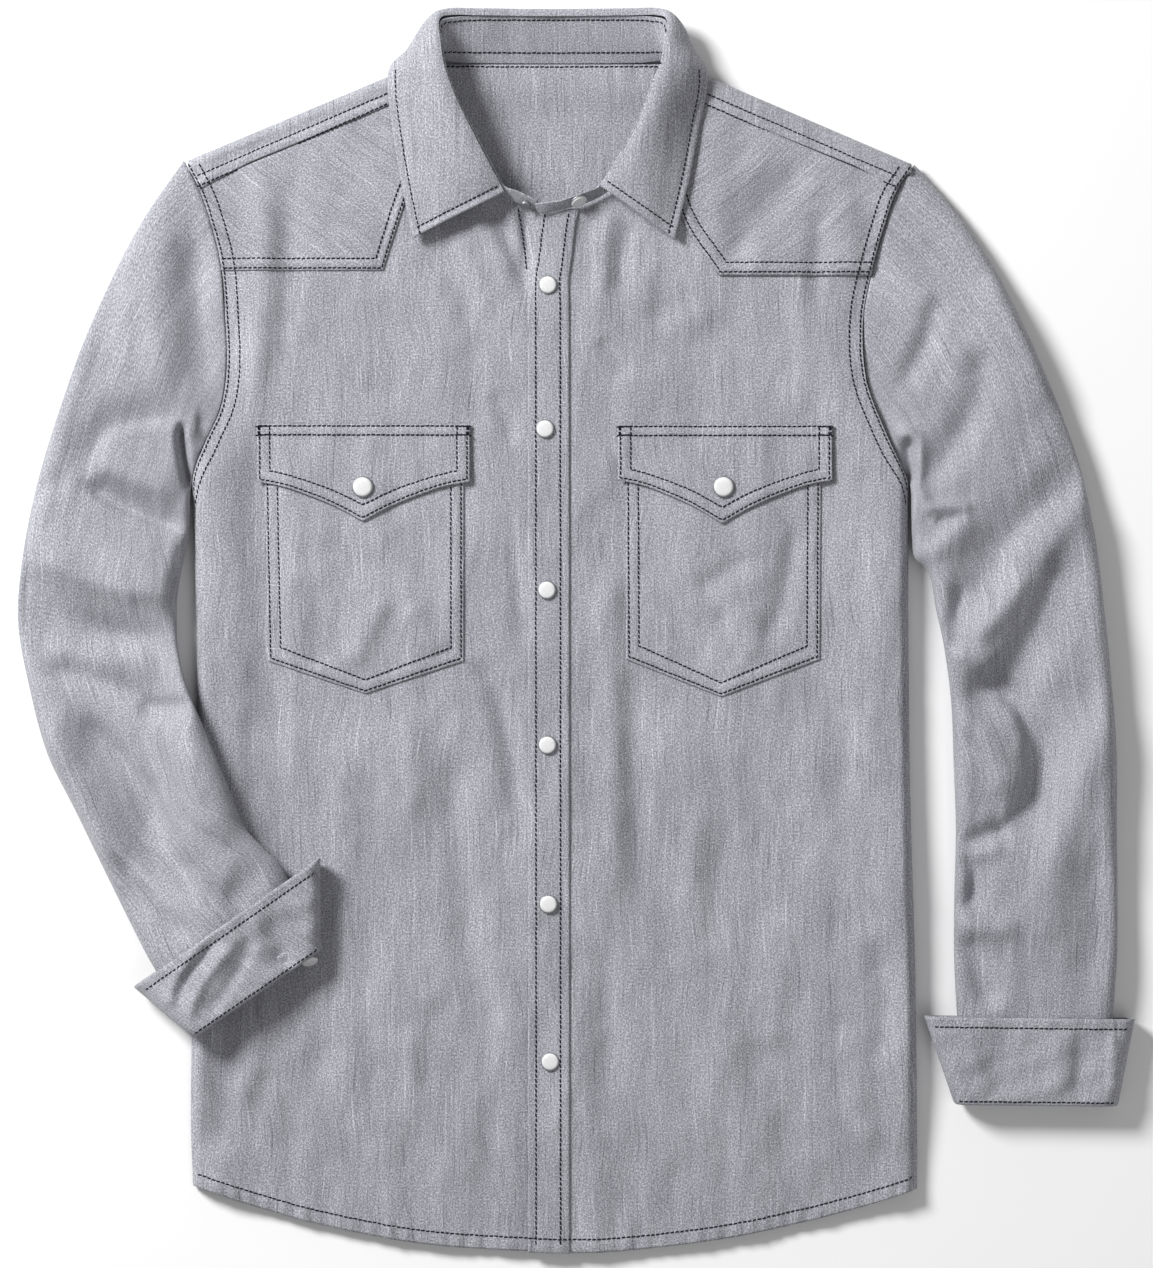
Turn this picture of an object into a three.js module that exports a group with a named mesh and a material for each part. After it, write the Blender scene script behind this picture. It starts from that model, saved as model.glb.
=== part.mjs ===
// Western snap shirt laid flat with its front up, in millimetres.
// X runs to the wearer's left, Y from the hem to the collar, Z up from the surface it lies on.
import * as THREE from 'three';

// Cloth thicknesses and the gap left between pieces
const CLOTH = 1.2;
const BAND = 1.6;
const OVERLAY = 1.0;
const GAP = 0.3;
const LAID_GAP = 0.45;

// Heights of the laid body
const SIDE_ROLL = 7;
const SIDE_SEAM_Z = 2.2;
const CHEST_Z = 11;
const HEM_SHARE = 0.6;
const HEM_FADE = 95;
const SIDE_RIDGE = 2.6;
const SIDE_RIDGE_IN = 24;
const SIDE_RIDGE_WIDTH = 15;
const ARMPIT_LOW = 72;
const ARMPIT_HIGH = 118;
const OVERLAP_RISE = 1.7;

// Back neck, where the fall of the collar lies under the yoke
const NECK_X = -14;
const NECK_BACK_Y = 357.5;
const NECK_LIFT = 3.2;
const YOKE_BACK_LOW_Y = 238;
const SHOULDER_ROLL = 6;

// Edge of the body in plan: side seam up to the armpit, then the armhole up to the shoulder tip
const BODY_EDGE = {
  right: [
    { y: -400, x: -242.0 }, { y: -349.7, x: -242.2 }, { y: -308, x: -243.5 }, { y: -165, x: -241.5 },
    { y: -24.6, x: -239.7 }, { y: 13.2, x: -240.3 }, { y: 79.4, x: -242.2 }, { y: 98.3, x: -241.8 },
    { y: 118, x: -234.5 }, { y: 140.5, x: -224.6 }, { y: 166.3, x: -220.8 }, { y: 202.2, x: -222.1 },
    { y: 233.1, x: -224.8 }, { y: 256, x: -230.4 }, { y: 276.6, x: -237.4 }, { y: 296.7, x: -247.9 },
  ],
  left: [
    { y: -400, x: 215.3 }, { y: -351.5, x: 215.1 }, { y: -327, x: 215.1 }, { y: -213.6, x: 213.9 },
    { y: -100, x: 210.7 }, { y: 13.2, x: 209.5 }, { y: 82.5, x: 209.5 }, { y: 95.1, x: 208.6 },
    { y: 124.7, x: 195.3 }, { y: 158.1, x: 183.0 }, { y: 197.2, x: 181.1 }, { y: 230.6, x: 187.4 },
    { y: 256, x: 194.6 }, { y: 276.6, x: 201.8 }, { y: 294.2, x: 213.3 },
  ],
};
const HEM = [
  { x: -250, y: -347.5 }, { x: -242.2, y: -349.7 }, { x: -202.5, y: -362.9 }, { x: -159.1, y: -374.9 },
  { x: -98.6, y: -386.2 }, { x: -29.3, y: -391.2 }, { x: 20, y: -391.6 }, { x: 90.4, y: -383.7 },
  { x: 142.7, y: -373 }, { x: 186.2, y: -361.3 }, { x: 215.1, y: -351.5 }, { x: 222, y: -349 },
];
const HEM_CORNER_Y = { right: -349.7, left: -351.5 };
const SHOULDER_TIP = { right: { x: -247.9, y: 295.5 }, left: { x: 213.3, y: 293.6 } };
const SHOULDER_NECK = { right: { x: -118.8, y: 349.7 }, left: { x: 82.8, y: 349.7 } };
const SEAM_TIP = { right: { x: -239.1, y: 280.4 }, left: { x: 201.3, y: 280.4 } };
const SEAM_NECK = { right: { x: -96, y: 342.5 }, left: { x: 68, y: 338.2 } };
const NECKLINE = {
  right: [[-96, 342.5], [-88, 326], [-74, 305], [-60, 289.5], [-46, 277], [-30, 269], [-8, 265.8]],
  left: [[68, 338.2], [60, 324], [46, 304], [32, 289.5], [18, 277], [2, 269.3], [-24, 265.8]],
};
const PLACKET_EDGE = [
  { y: -400, free: -30.6, seam: -4.3 }, { y: -200, free: -30.6, seam: -4.3 },
  { y: 200, free: -30.8, seam: -4.5 }, { y: 222, free: -30.6, seam: -4.7 },
  { y: 235, free: -28.6, seam: -2.9 }, { y: 255, free: -26.1, seam: -0.6 },
  { y: 266, free: -24.3, seam: 1.8 },
];
const PLACKET_TOP_Y = 265;

// Largest soft folds of the fronts, each a ridge or trough between two plan points
const BODY_FOLDS = [
  { x1: -199, y1: 300, x2: -197, y2: 150, width: 14, height: 1.7 },
  { x1: -214, y1: 108, x2: -202, y2: -20, width: 20, height: -1.8 },
  { x1: -48, y1: 70, x2: -46, y2: -310, width: 13, height: 1.5 },
  { x1: -82, y1: 20, x2: -76, y2: -180, width: 13, height: -1.3 },
  { x1: 36, y1: -60, x2: 42, y2: -260, width: 14, height: -1.5 },
  { x1: 172, y1: 260, x2: 172, y2: 80, width: 17, height: 1.5 },
  { x1: 118, y1: 180, x2: 60, y2: 205, width: 18, height: -1.1 },
];

// Sleeves: plan points of the outer and inner edge, height of the edges, share of bow kept from the armhole,
// hollow between the edges, and how much the sleeve is lifted off its rest by the cuff around it
const SLEEVE = {
  right: [
    { ox: -247.9, oy: 296.7, ix: -241.8, iy: 98.3, high: 11, bow: 1.0, hollow: 0, lift: 0 },
    { ox: -273.7, oy: 258.9, ix: -243.3, iy: 88, high: 15, bow: 0.62, hollow: -2, lift: 0 },
    { ox: -293, oy: 222, ix: -243.6, iy: 79, high: 18, bow: 0.32, hollow: -2, lift: 0 },
    { ox: -310, oy: 184, ix: -244, iy: 68, high: 20, bow: 0.12, hollow: -2, lift: 0 },
    { ox: -324, oy: 145, ix: -246, iy: 52, high: 21, bow: 0, hollow: -1, lift: 0 },
    { ox: -336, oy: 107, ix: -249.2, iy: 36, high: 22, bow: 0, hollow: 0, lift: 0 },
    { ox: -345, oy: 70, ix: -251.6, iy: 20, high: 23, bow: 0, hollow: 1, lift: 0 },
    { ox: -350.5, oy: 35, ix: -251.6, iy: 4, high: 23, bow: 0, hollow: 1, lift: 0 },
    { ox: -351.9, oy: 5, ix: -250.6, iy: -12, high: 22, bow: 0, hollow: 0, lift: 0 },
    { ox: -346, oy: -30, ix: -245, iy: -34, high: 21, bow: 0, hollow: -1, lift: 0 },
    { ox: -334, oy: -76, ix: -231, iy: -68, high: 20, bow: 0, hollow: -2, lift: 0 },
    { ox: -316, oy: -113, ix: -219.5, iy: -96, high: 19, bow: 0, hollow: -2, lift: 0 },
    { ox: -297, oy: -152, ix: -209, iy: -122, high: 18, bow: 0, hollow: -2, lift: 0.6 },
    { ox: -281, oy: -184, ix: -196, iy: -137, high: 16, bow: 0, hollow: -1, lift: 2.9 },
    { ox: -267.6, oy: -209, ix: -184, iy: -150.5, high: 14, bow: 0, hollow: 0, lift: 2.9 },
    { ox: -247.5, oy: -240.5, ix: -169.5, iy: -186, high: 13, bow: 0, hollow: 0, lift: 2.9 },
  ],
  left: [
    { ox: 213.3, oy: 294.2, ix: 208.6, iy: 95.1, high: 11, bow: 1.0, hollow: 0, lift: 0 },
    { ox: 238, oy: 266, ix: 210.6, iy: 88, high: 15, bow: 0.62, hollow: -2, lift: 0 },
    { ox: 258, oy: 237, ix: 210.8, iy: 79, high: 18, bow: 0.32, hollow: -2, lift: 0 },
    { ox: 277, oy: 203, ix: 211, iy: 70, high: 20, bow: 0.12, hollow: -2, lift: 0 },
    { ox: 292, oy: 170, ix: 211.4, iy: 58, high: 21, bow: 0, hollow: -1, lift: 0 },
    { ox: 306, oy: 136, ix: 213, iy: 46, high: 22, bow: 0, hollow: -1, lift: 0 },
    { ox: 318, oy: 100, ix: 222, iy: 36, high: 23, bow: 0, hollow: -1, lift: 0 },
    { ox: 327, oy: 58, ix: 226.5, iy: 13, high: 24, bow: 0, hollow: -2, lift: 0 },
    { ox: 332.5, oy: 14, ix: 231.5, iy: -10, high: 24, bow: 0, hollow: -3, lift: 0 },
    { ox: 337, oy: -30, ix: 236, iy: -45, high: 23, bow: 0, hollow: -4, lift: 0 },
    { ox: 340.5, oy: -78, ix: 237.6, iy: -85, high: 22, bow: 0, hollow: -4, lift: 0 },
    { ox: 340.6, oy: -122, ix: 239, iy: -125, high: 21, bow: 0, hollow: -3, lift: 0 },
    { ox: 341, oy: -166, ix: 238, iy: -168, high: 20, bow: 0, hollow: -3, lift: 0.6 },
    { ox: 340.6, oy: -206, ix: 237.8, iy: -206, high: 18, bow: 0, hollow: -2, lift: 2.9 },
    { ox: 338.2, oy: -243, ix: 239.7, iy: -243, high: 16, bow: 0, hollow: -1, lift: 2.9 },
    { ox: 336, oy: -285.7, ix: 243.2, iy: -284.5, high: 13, bow: 0, hollow: 0, lift: 2.9 },
  ],
};
const SLEEVE_EDGE_RADIUS = 10;
const SLEEVE_FOLDS = [
  { x1: -346, y1: 19, x2: -252, y2: 8, width: 9, height: -6 },
  { x1: -322, y1: 84, x2: -254, y2: 62, width: 7, height: -3 },
  { x1: -318, y1: -44, x2: -262, y2: -138, width: 9, height: -4 },
  { x1: -340, y1: 110, x2: -318, y2: 140, width: 12, height: -3 },
  { x1: 238, y1: 165, x2: 220, y2: 95, width: 8, height: -4 },
  { x1: 318, y1: 78, x2: 246, y2: 42, width: 11, height: -6 },
  { x1: 302, y1: 38, x2: 250, y2: -46, width: 10, height: -6 },
  { x1: 258, y1: -112, x2: 262, y2: -168, width: 9, height: -4 },
];

// Turned back cuffs: corners of the free edge and of the fold, and heights there
const CUFF = {
  right: {
    freeOuter: [-278.8, -224.3], freeInner: [-161, -142.4], foldOuter: [-240.5, -255.5], foldInner: [-160.4, -200.6],
    freeHigh: 24, foldHigh: 17, overlapAt: 1,
  },
  left: {
    freeOuter: [351.9, -244.4], freeInner: [218.9, -242.6], foldOuter: [341.2, -299.2], foldInner: [238, -298],
    freeHigh: 25, foldHigh: 17, overlapAt: 0,
  },
};
const CUFF_RETURN = 13;

// Collar fall, front edge to back centre. The fold is where it leaves the stand, the edge is its free edge.
// face is the way it hangs, in degrees from the wearer's side towards the back
const COLLAR_LEAF = [
  { rfx: -46.3, lfx: 14.8, fy: 279.4, fz: 23.5, rex: -103, lex: 62.1, ey: 247, ez: 15.6, face: -30, out: 13, up: 5, back: -18, lift: 3 },
  { rfx: -54.5, lfx: 25, fy: 294.5, fz: 28, rex: -106.5, lex: 66, ey: 263, ez: 15.7, face: -30, out: 12, up: 6, back: -17, lift: 4 },
  { rfx: -64, lfx: 35, fy: 312, fz: 31, rex: -111.5, lex: 72, ey: 288, ez: 15.8, face: -24, out: 11, up: 6, back: -15, lift: 5 },
  { rfx: -73.4, lfx: 43, fy: 330, fz: 33, rex: -116.3, lex: 77.5, ey: 317, ez: 16, face: -15, out: 11, up: 6, back: -13, lift: 5 },
  { rfx: -80, lfx: 49, fy: 346, fz: 34, rex: -118.8, lex: 82, ey: 340, ez: 16.2, face: -7, out: 12, up: 5, back: -6, lift: 6 },
  { rfx: -83.5, lfx: 54.5, fy: 358, fz: 33, rex: -118.6, lex: 83, ey: 354, ez: 12.5, face: 0, out: 12, up: 4, back: 1, lift: 8 },
  { rfx: -85.5, lfx: 57, fy: 370, fz: 29, rex: -111, lex: 79, ey: 362.5, ez: 3.5, face: 18, out: 10, up: 2, back: 4, lift: 8 },
  { rfx: -85, lfx: 57, fy: 380, fz: 24, rex: -98, lex: 70, ey: 357, ez: 0.1, face: 48, out: 12, up: 0, back: 18, lift: 0 },
  { rfx: -76, lfx: 48, fy: 386, fz: 19.5, rex: -78, lex: 50, ey: 350.5, ez: 0.1, face: 78, out: 15, up: 0, back: 30, lift: 0 },
  { rfx: -58, lfx: 30, fy: 387, fz: 17, rex: -58, lex: 30, ey: 348.5, ez: 0.1, face: 90, out: 16.5, up: 0, back: 34, lift: 0 },
  { rfx: -14, lfx: -14, fy: 387, fz: 16, rex: -14, lex: -14, ey: 348.5, ez: 0.1, face: 90, out: 16.5, up: 0, back: 34, lift: 0 },
];
// Collar stand, front end to back centre: the neck seam and the top edge under the fold
const COLLAR_STAND = [
  { rsx: -22.5, lsx: -12.5, sy: 265.2, sz: 15.6, rtx: -24.5, ltx: -10.5, ty: 270.8, tz: 21.5 },
  { rsx: -37, lsx: 6, sy: 270.2, sz: 15, rtx: -36.5, ltx: 6, ty: 276.6, tz: 22.2 },
  { rsx: -50, lsx: 20, sy: 277.8, sz: 14.8, rtx: -45.6, ltx: 14.2, ty: 280.6, tz: 21.3 },
  { rsx: -61, lsx: 32, sy: 290.8, sz: 14.8, rtx: -53.6, ltx: 24.1, ty: 295, tz: 25.6 },
  { rsx: -72.5, lsx: 43, sy: 308.5, sz: 15, rtx: -63, ltx: 34, ty: 312.4, tz: 28.5 },
  { rsx: -82, lsx: 51.5, sy: 327.5, sz: 15, rtx: -72.4, ltx: 42, ty: 330.2, tz: 30.4 },
  { rsx: -87.5, lsx: 57, sy: 344.5, sz: 15, rtx: -79, ltx: 48, ty: 346, tz: 31.4 },
  { rsx: -90, lsx: 60.5, sy: 355, sz: 12.5, rtx: -82.4, ltx: 53.4, ty: 357.6, tz: 30.4 },
  { rsx: -87, lsx: 59, sy: 360.5, sz: 8.2, rtx: -84, ltx: 55.6, ty: 368.8, tz: 26.4 },
  { rsx: -80, lsx: 52, sy: 360.2, sz: 6.2, rtx: -83.6, ltx: 55.6, ty: 378.4, tz: 21.4 },
  { rsx: -70, lsx: 42, sy: 359.4, sz: 5.8, rtx: -75, ltx: 47, ty: 384.2, tz: 17 },
  { rsx: -54, lsx: 26, sy: 359, sz: 5.6, rtx: -57.6, ltx: 29.6, ty: 385.2, tz: 14.7 },
  { rsx: -14, lsx: -14, sy: 358.8, sz: 5.6, rtx: -14, ltx: -14, ty: 385.2, tz: 13.7 },
];

// Front yokes, pockets and flaps, by side
const YOKE_FRONT = {
  right: { armY: 227.1, corner: [-121.9, 227.1], neck: [-87.5, 319], neckTop: [-95.4, 341.3] },
  left: { armY: 224.6, corner: [89.8, 224.6], neck: [58.5, 316], neckTop: [67.4, 337.2] },
};
const POCKET = {
  right: { topLeft: -197.2, topRight: -70.9, lowLeft: -194.6, lowRight: -70.9, top: 117, low: -19, tipX: -133.2, tipY: -39.7 },
  left: { topLeft: 30.6, topRight: 154.2, lowLeft: 31.2, lowRight: 153.4, top: 117, low: -18, tipX: 91, tipY: -41.6 },
};
const FLAP = {
  right: { left: -201.3, rightX: -67.1, top: 130.2, side: 94, tipX: -134.6, tipY: 68.9 },
  left: { left: 25.9, rightX: 161, top: 129.9, side: 95, tipX: 91.7, tipY: 67.4 },
};
// Lower edge of a flap from its side (0) to its tip (1): share of the drop to the tip
const FLAP_DROP = [
  { at: 0, drop: 0 }, { at: 0.25, drop: 0.13 }, { at: 0.5, drop: 0.36 }, { at: 0.75, drop: 0.64 }, { at: 1, drop: 1 },
];
const FLAP_KICK = 1.6;

// Snaps
const SNAP_SMALL = { radius: 5.5, high: 2.6 };
const SNAP_LARGE = { radius: 6.45, high: 3.0 };
const PLACKET_SNAPS = [
  { x: -18, y: 218 }, { x: -19.8, y: 127.3 }, { x: -18.6, y: 25.8 },
  { x: -18.3, y: -71.8 }, { x: -17.7, y: -172 }, { x: -16.6, y: -271.2 },
];
const FLAP_SNAPS = { right: { x: -134.6, y: 90.7 }, left: { x: 92.6, y: 90.8 } };
const SNAP_SIDES = 16;

const cloth = new THREE.MeshStandardMaterial({ name: 'chambray', color: 0x9b9ba3, roughness: 0.9 });
const pearl = new THREE.MeshStandardMaterial({ name: 'pearl', color: 0xf2f2f0, roughness: 0.25 });
const metal = new THREE.MeshStandardMaterial({ name: 'metal', color: 0xb8b8bc, roughness: 0.35, metalness: 1 });

function mix(a, b, t) {
  return a + (b - a) * t;
}

function mixPoint(a, b, t) {
  return a.map((value, axis) => mix(value, b[axis], t));
}

function ease(low, high, at) {
  const t = Math.min(1, Math.max(0, (at - low) / (high - low)));
  return t * t * (3 - 2 * t);
}

// Smooth curve through the rows of a table, read at one column to give another
function read(table, key, value, at) {
  const last = table.length - 1;
  let row = 0;
  while (row < last - 1 && at > table[row + 1][key]) row += 1;
  const slope = (k) => {
    const a = table[Math.max(0, k - 1)];
    const b = table[Math.min(last, k + 1)];
    return (b[value] - a[value]) / (b[key] - a[key]);
  };
  const start = table[row];
  const end = table[row + 1];
  const span = end[key] - start[key];
  const t = Math.min(1, Math.max(0, (at - start[key]) / span));
  const t2 = t * t;
  const t3 = t2 * t;
  return (2 * t3 - 3 * t2 + 1) * start[value] + (t3 - 2 * t2 + t) * span * slope(row)
    + (3 * t2 - 2 * t3) * end[value] + (t3 - t2) * span * slope(row + 1);
}

// Smooth path through plan points, read at a share of its length
function along(points, share) {
  const rows = [{ s: 0, x: points[0][0], y: points[0][1] }];
  for (let k = 1; k < points.length; k += 1) {
    const step = Math.hypot(points[k][0] - points[k - 1][0], points[k][1] - points[k - 1][1]);
    rows.push({ s: rows[k - 1].s + step, x: points[k][0], y: points[k][1] });
  }
  const at = share * rows[rows.length - 1].s;
  return [read(rows, 's', 'x', at), read(rows, 's', 'y', at)];
}

function foldHeight(folds, x, y) {
  let total = 0;
  for (const fold of folds) {
    const dx = fold.x2 - fold.x1;
    const dy = fold.y2 - fold.y1;
    const length = Math.hypot(dx, dy);
    const run = ((x - fold.x1) * dx + (y - fold.y1) * dy) / length;
    const off = ((x - fold.x1) * dy - (y - fold.y1) * dx) / length;
    const taper = ease(-0.15 * length, 0.25 * length, run) * (1 - ease(0.75 * length, 1.15 * length, run));
    total += fold.height * taper * Math.exp(-((off / fold.width) ** 2));
  }
  return total;
}

function bodyEdge(side, y) {
  return read(BODY_EDGE[side], 'y', 'x', y);
}

function hemY(x) {
  return read(HEM, 'x', 'y', x);
}

function shoulderY(side, x) {
  const tip = SHOULDER_TIP[side];
  const neck = SHOULDER_NECK[side];
  return tip.y + (neck.y - tip.y) * (x - tip.x) / (neck.x - tip.x);
}

// Top of the front cloth over the laid body
function frontHeight(x, y) {
  const reach = Math.min(x - bodyEdge('right', y), bodyEdge('left', y) - x);
  const underArm = 1 - ease(ARMPIT_LOW, ARMPIT_HIGH, y);
  const ridge = SIDE_RIDGE * Math.exp(-(((reach - SIDE_RIDGE_IN) / SIDE_RIDGE_WIDTH) ** 2)) * underArm;
  const hem = mix(HEM_SHARE, 1, ease(0, HEM_FADE, y - hemY(x)));
  const full = (CHEST_Z + ridge) * hem + foldHeight(BODY_FOLDS, x, y);
  const share = Math.max(0, reach) / SIDE_ROLL;
  const roll = share < 1 ? Math.sqrt(1 - (1 - share) ** 2) : 1;
  return mix(full, mix(SIDE_SEAM_Z, full, roll), underArm);
}

// The left front lies on the right one along the centre
function leftFrontHeight(x, y) {
  return frontHeight(x, y) + OVERLAP_RISE * (1 - ease(6, 46, x));
}

function frontTop(side, x, y) {
  return side === 'left' ? leftFrontHeight(x, y) : frontHeight(x, y);
}

// Patch between four plan curves, all read from 0 to 1
function patch(low, high, first, last, u, v) {
  const corners = [low(0), low(1), high(0), high(1)];
  const across = mixPoint(first(v), last(v), u);
  const upward = mixPoint(low(u), high(u), v);
  const flat = mixPoint(mixPoint(corners[0], corners[1], u), mixPoint(corners[2], corners[3], u), v);
  return [across[0] + upward[0] - flat[0], across[1] + upward[1] - flat[1]];
}

// Closed mesh with its faces turned outward
function body(name, positions, faces, material) {
  let volume = 0;
  const corner = new THREE.Vector3();
  for (const [a, b, c] of faces) {
    corner.copy(positions[b]).cross(positions[c]);
    volume += positions[a].dot(corner);
  }
  const turned = volume < 0 ? faces.map(([a, b, c]) => [a, c, b]) : faces;
  const geometry = new THREE.BufferGeometry();
  const flat = new Float32Array(positions.length * 3);
  positions.forEach((p, k) => p.toArray(flat, k * 3));
  geometry.setAttribute('position', new THREE.BufferAttribute(flat, 3));
  geometry.setIndex(turned.flat());
  geometry.computeVertexNormals();
  const mesh = new THREE.Mesh(geometry, material);
  mesh.name = name;
  return mesh;
}

// Cloth wall under a grid of points. The second skin lies thick below the first, along the grid's normals,
// or straight down where upright is set. keep says which cells are cloth.
function wall(name, grid, thick, { upright = false, keep = () => true } = {}) {
  const columns = grid.length;
  const rows = grid[0].length;
  const used = new Map();
  const cells = [];
  for (let i = 0; i < columns - 1; i += 1) {
    for (let j = 0; j < rows - 1; j += 1) {
      if (keep(i, j)) cells.push([i, j]);
    }
  }
  const inside = (i, j) => i >= 0 && j >= 0 && i < columns - 1 && j < rows - 1 && keep(i, j);
  const normals = new Map();
  const key = (i, j) => i * rows + j;
  for (const [i, j] of cells) {
    const a = grid[i][j];
    const b = grid[i + 1][j + 1];
    const c = grid[i][j + 1];
    const d = grid[i + 1][j];
    const normal = new THREE.Vector3().subVectors(b, a).cross(new THREE.Vector3().subVectors(c, d));
    for (const [p, q] of [[i, j], [i + 1, j], [i + 1, j + 1], [i, j + 1]]) {
      const at = key(p, q);
      if (!normals.has(at)) normals.set(at, new THREE.Vector3());
      normals.get(at).add(normal);
    }
  }
  const positions = [];
  for (const at of normals.keys()) {
    const point = grid[Math.floor(at / rows)][at % rows];
    const down = upright ? new THREE.Vector3(0, 0, 1) : normals.get(at).clone().normalize();
    used.set(at, positions.length);
    positions.push(point.clone(), point.clone().addScaledVector(down, -thick));
  }
  const faces = [];
  const quad = (a, b, c, d) => faces.push([a, b, c], [a, c, d]);
  for (const [i, j] of cells) {
    const ring = [[i, j], [i + 1, j], [i + 1, j + 1], [i, j + 1]].map(([p, q]) => used.get(key(p, q)));
    quad(...ring);
    quad(ring[3] + 1, ring[2] + 1, ring[1] + 1, ring[0] + 1);
    const open = [!inside(i, j - 1), !inside(i + 1, j), !inside(i, j + 1), !inside(i - 1, j)];
    open.forEach((free, k) => {
      const p = ring[k];
      const q = ring[(k + 1) % 4];
      if (free) quad(q, p, p + 1, q + 1);
    });
  }
  return body(name, positions, faces, cloth);
}

// Closed tube wall from rings in the order round its cross profile
function tube(name, rings) {
  const count = rings.length;
  const around = rings[0].length;
  const positions = rings.flat();
  const faces = [];
  for (let i = 0; i < count; i += 1) {
    for (let j = 0; j < around; j += 1) {
      const a = i * around + j;
      const b = ((i + 1) % count) * around + j;
      const c = ((i + 1) % count) * around + ((j + 1) % around);
      const d = i * around + ((j + 1) % around);
      faces.push([a, b, c], [a, c, d]);
    }
  }
  return body(name, positions, faces, cloth);
}

// Columns closer together at the outer side, where the cloth rolls down to the side seam
function columnShares(count) {
  const shares = [0, 0.003, 0.01, 0.02, 0.034];
  for (let k = 1; k <= count; k += 1) shares.push(mix(0.034, 1, k / count));
  return shares;
}

function front(side) {
  const inward = side === 'right' ? 1 : -1;
  const corner = [bodyEdge(side, HEM_CORNER_Y[side]), HEM_CORNER_Y[side]];
  const centre = (y) => (side === 'right'
    ? read(PLACKET_EDGE, 'y', 'seam', y) - 2.2
    : read(PLACKET_EDGE, 'y', 'free', y) + 1.2);
  const neck = NECKLINE[side];
  const throat = neck[neck.length - 1];
  const outer = (v) => {
    const y = mix(corner[1], SEAM_TIP[side].y, v);
    return [bodyEdge(side, y) + inward * 1.5 * GAP * ease(ARMPIT_LOW, ARMPIT_HIGH, y), y];
  };
  const low = (u) => {
    const x = mix(corner[0], centre(-390), u);
    return [x, hemY(x)];
  };
  const inner = (v) => {
    const y = mix(low(1)[1], throat[1], v);
    return [mix(centre(y), throat[0], ease(230, throat[1], y)), y];
  };
  const seamEnd = outer(1);
  const high = (u) => (u < 0.5
    ? mixPoint(seamEnd, neck[0], u / 0.5)
    : along(neck, (u - 0.5) / 0.5));
  const shares = columnShares(16);
  const rows = 26;
  const grid = shares.map((u) => {
    const column = [];
    for (let j = 0; j <= rows; j += 1) {
      const [x, y] = patch(low, high, outer, inner, u, j / rows);
      column.push(new THREE.Vector3(x, y, frontTop(side, x, y)));
    }
    return column;
  });
  if (side === 'left') grid.reverse();
  return wall(`front_${side}`, grid, CLOTH);
}

// A piece laid on a front: its grid is the front's own surface moved out
function overlay(name, side, columns, rows, place, out, thick) {
  const grid = [];
  for (let i = 0; i <= columns; i += 1) {
    grid.push([]);
    for (let j = 0; j <= rows; j += 1) {
      const [x, y] = place(i / columns, j / rows);
      grid[i].push(new THREE.Vector3(x, y, frontTop(side, x, y) + out(i / columns, j / rows) + thick));
    }
  }
  return wall(name, grid, thick, { upright: true });
}

function frontYoke(side) {
  const piece = YOKE_FRONT[side];
  const inward = side === 'right' ? 1 : -1;
  const gap = inward * GAP;
  const tip = [bodyEdge(side, SEAM_TIP[side].y - GAP) + gap, SEAM_TIP[side].y - GAP];
  const armLow = [bodyEdge(side, piece.armY) + gap, piece.armY];
  const low = (u) => (u < 0.6 ? mixPoint(armLow, piece.corner, u / 0.6) : mixPoint(piece.corner, piece.neck, (u - 0.6) / 0.4));
  const high = (u) => mixPoint(tip, piece.neckTop, u);
  const outer = (v) => {
    const y = mix(piece.armY, tip[1], v);
    return [bodyEdge(side, y) + gap, y];
  };
  const inner = (v) => mixPoint(piece.neck, piece.neckTop, v);
  const place = (u, v) => patch(low, high, outer, inner, u, v);
  return overlay(`yoke_front_${side}`, side, 11, 6, place, () => LAID_GAP, OVERLAY);
}

function placket() {
  const place = (u, v) => {
    const seam = read(PLACKET_EDGE, 'y', 'seam', -390);
    const low = hemY(mix(read(PLACKET_EDGE, 'y', 'free', -390), seam, u));
    const y = mix(low - 0.6, PLACKET_TOP_Y + 1.2 * u, v);
    return [mix(read(PLACKET_EDGE, 'y', 'free', y), read(PLACKET_EDGE, 'y', 'seam', y), u), y];
  };
  return overlay('placket', 'left', 3, 26, place, () => LAID_GAP, CLOTH);
}

function pocket(side) {
  const p = POCKET[side];
  const place = (u, v) => {
    const tip = (p.tipX - p.lowLeft) / (p.lowRight - p.lowLeft);
    const towardTip = u < tip ? u / tip : (1 - u) / (1 - tip);
    const low = mix(p.low, p.tipY, towardTip);
    const y = mix(low, p.top, v);
    const depth = (p.top - y) / (p.top - p.low);
    return [mix(mix(p.topLeft, p.lowLeft, depth), mix(p.topRight, p.lowRight, depth), u), y];
  };
  return overlay(`pocket_${side}`, side, 10, 8, place, () => LAID_GAP, OVERLAY);
}

function flap(side) {
  const f = FLAP[side];
  const tip = (f.tipX - f.left) / (f.rightX - f.left);
  const place = (u, v) => {
    const towardTip = u < tip ? u / tip : (1 - u) / (1 - tip);
    const low = mix(f.side, f.tipY, read(FLAP_DROP, 'at', 'drop', towardTip));
    return [mix(f.left, f.rightX, u), mix(low, f.top, v)];
  };
  const out = (u, v) => 2 * LAID_GAP + OVERLAY + FLAP_KICK * (1 - v) ** 2;
  return overlay(`flap_${side}`, side, 14, 4, place, out, OVERLAY + GAP);
}

// Height of the back cloth's underside, raised where the collar fall lies under it
function underLift(x, y) {
  return NECK_LIFT * ease(322, 346, y) * (1 - ease(84, 112, Math.abs(x - NECK_X)));
}

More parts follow.
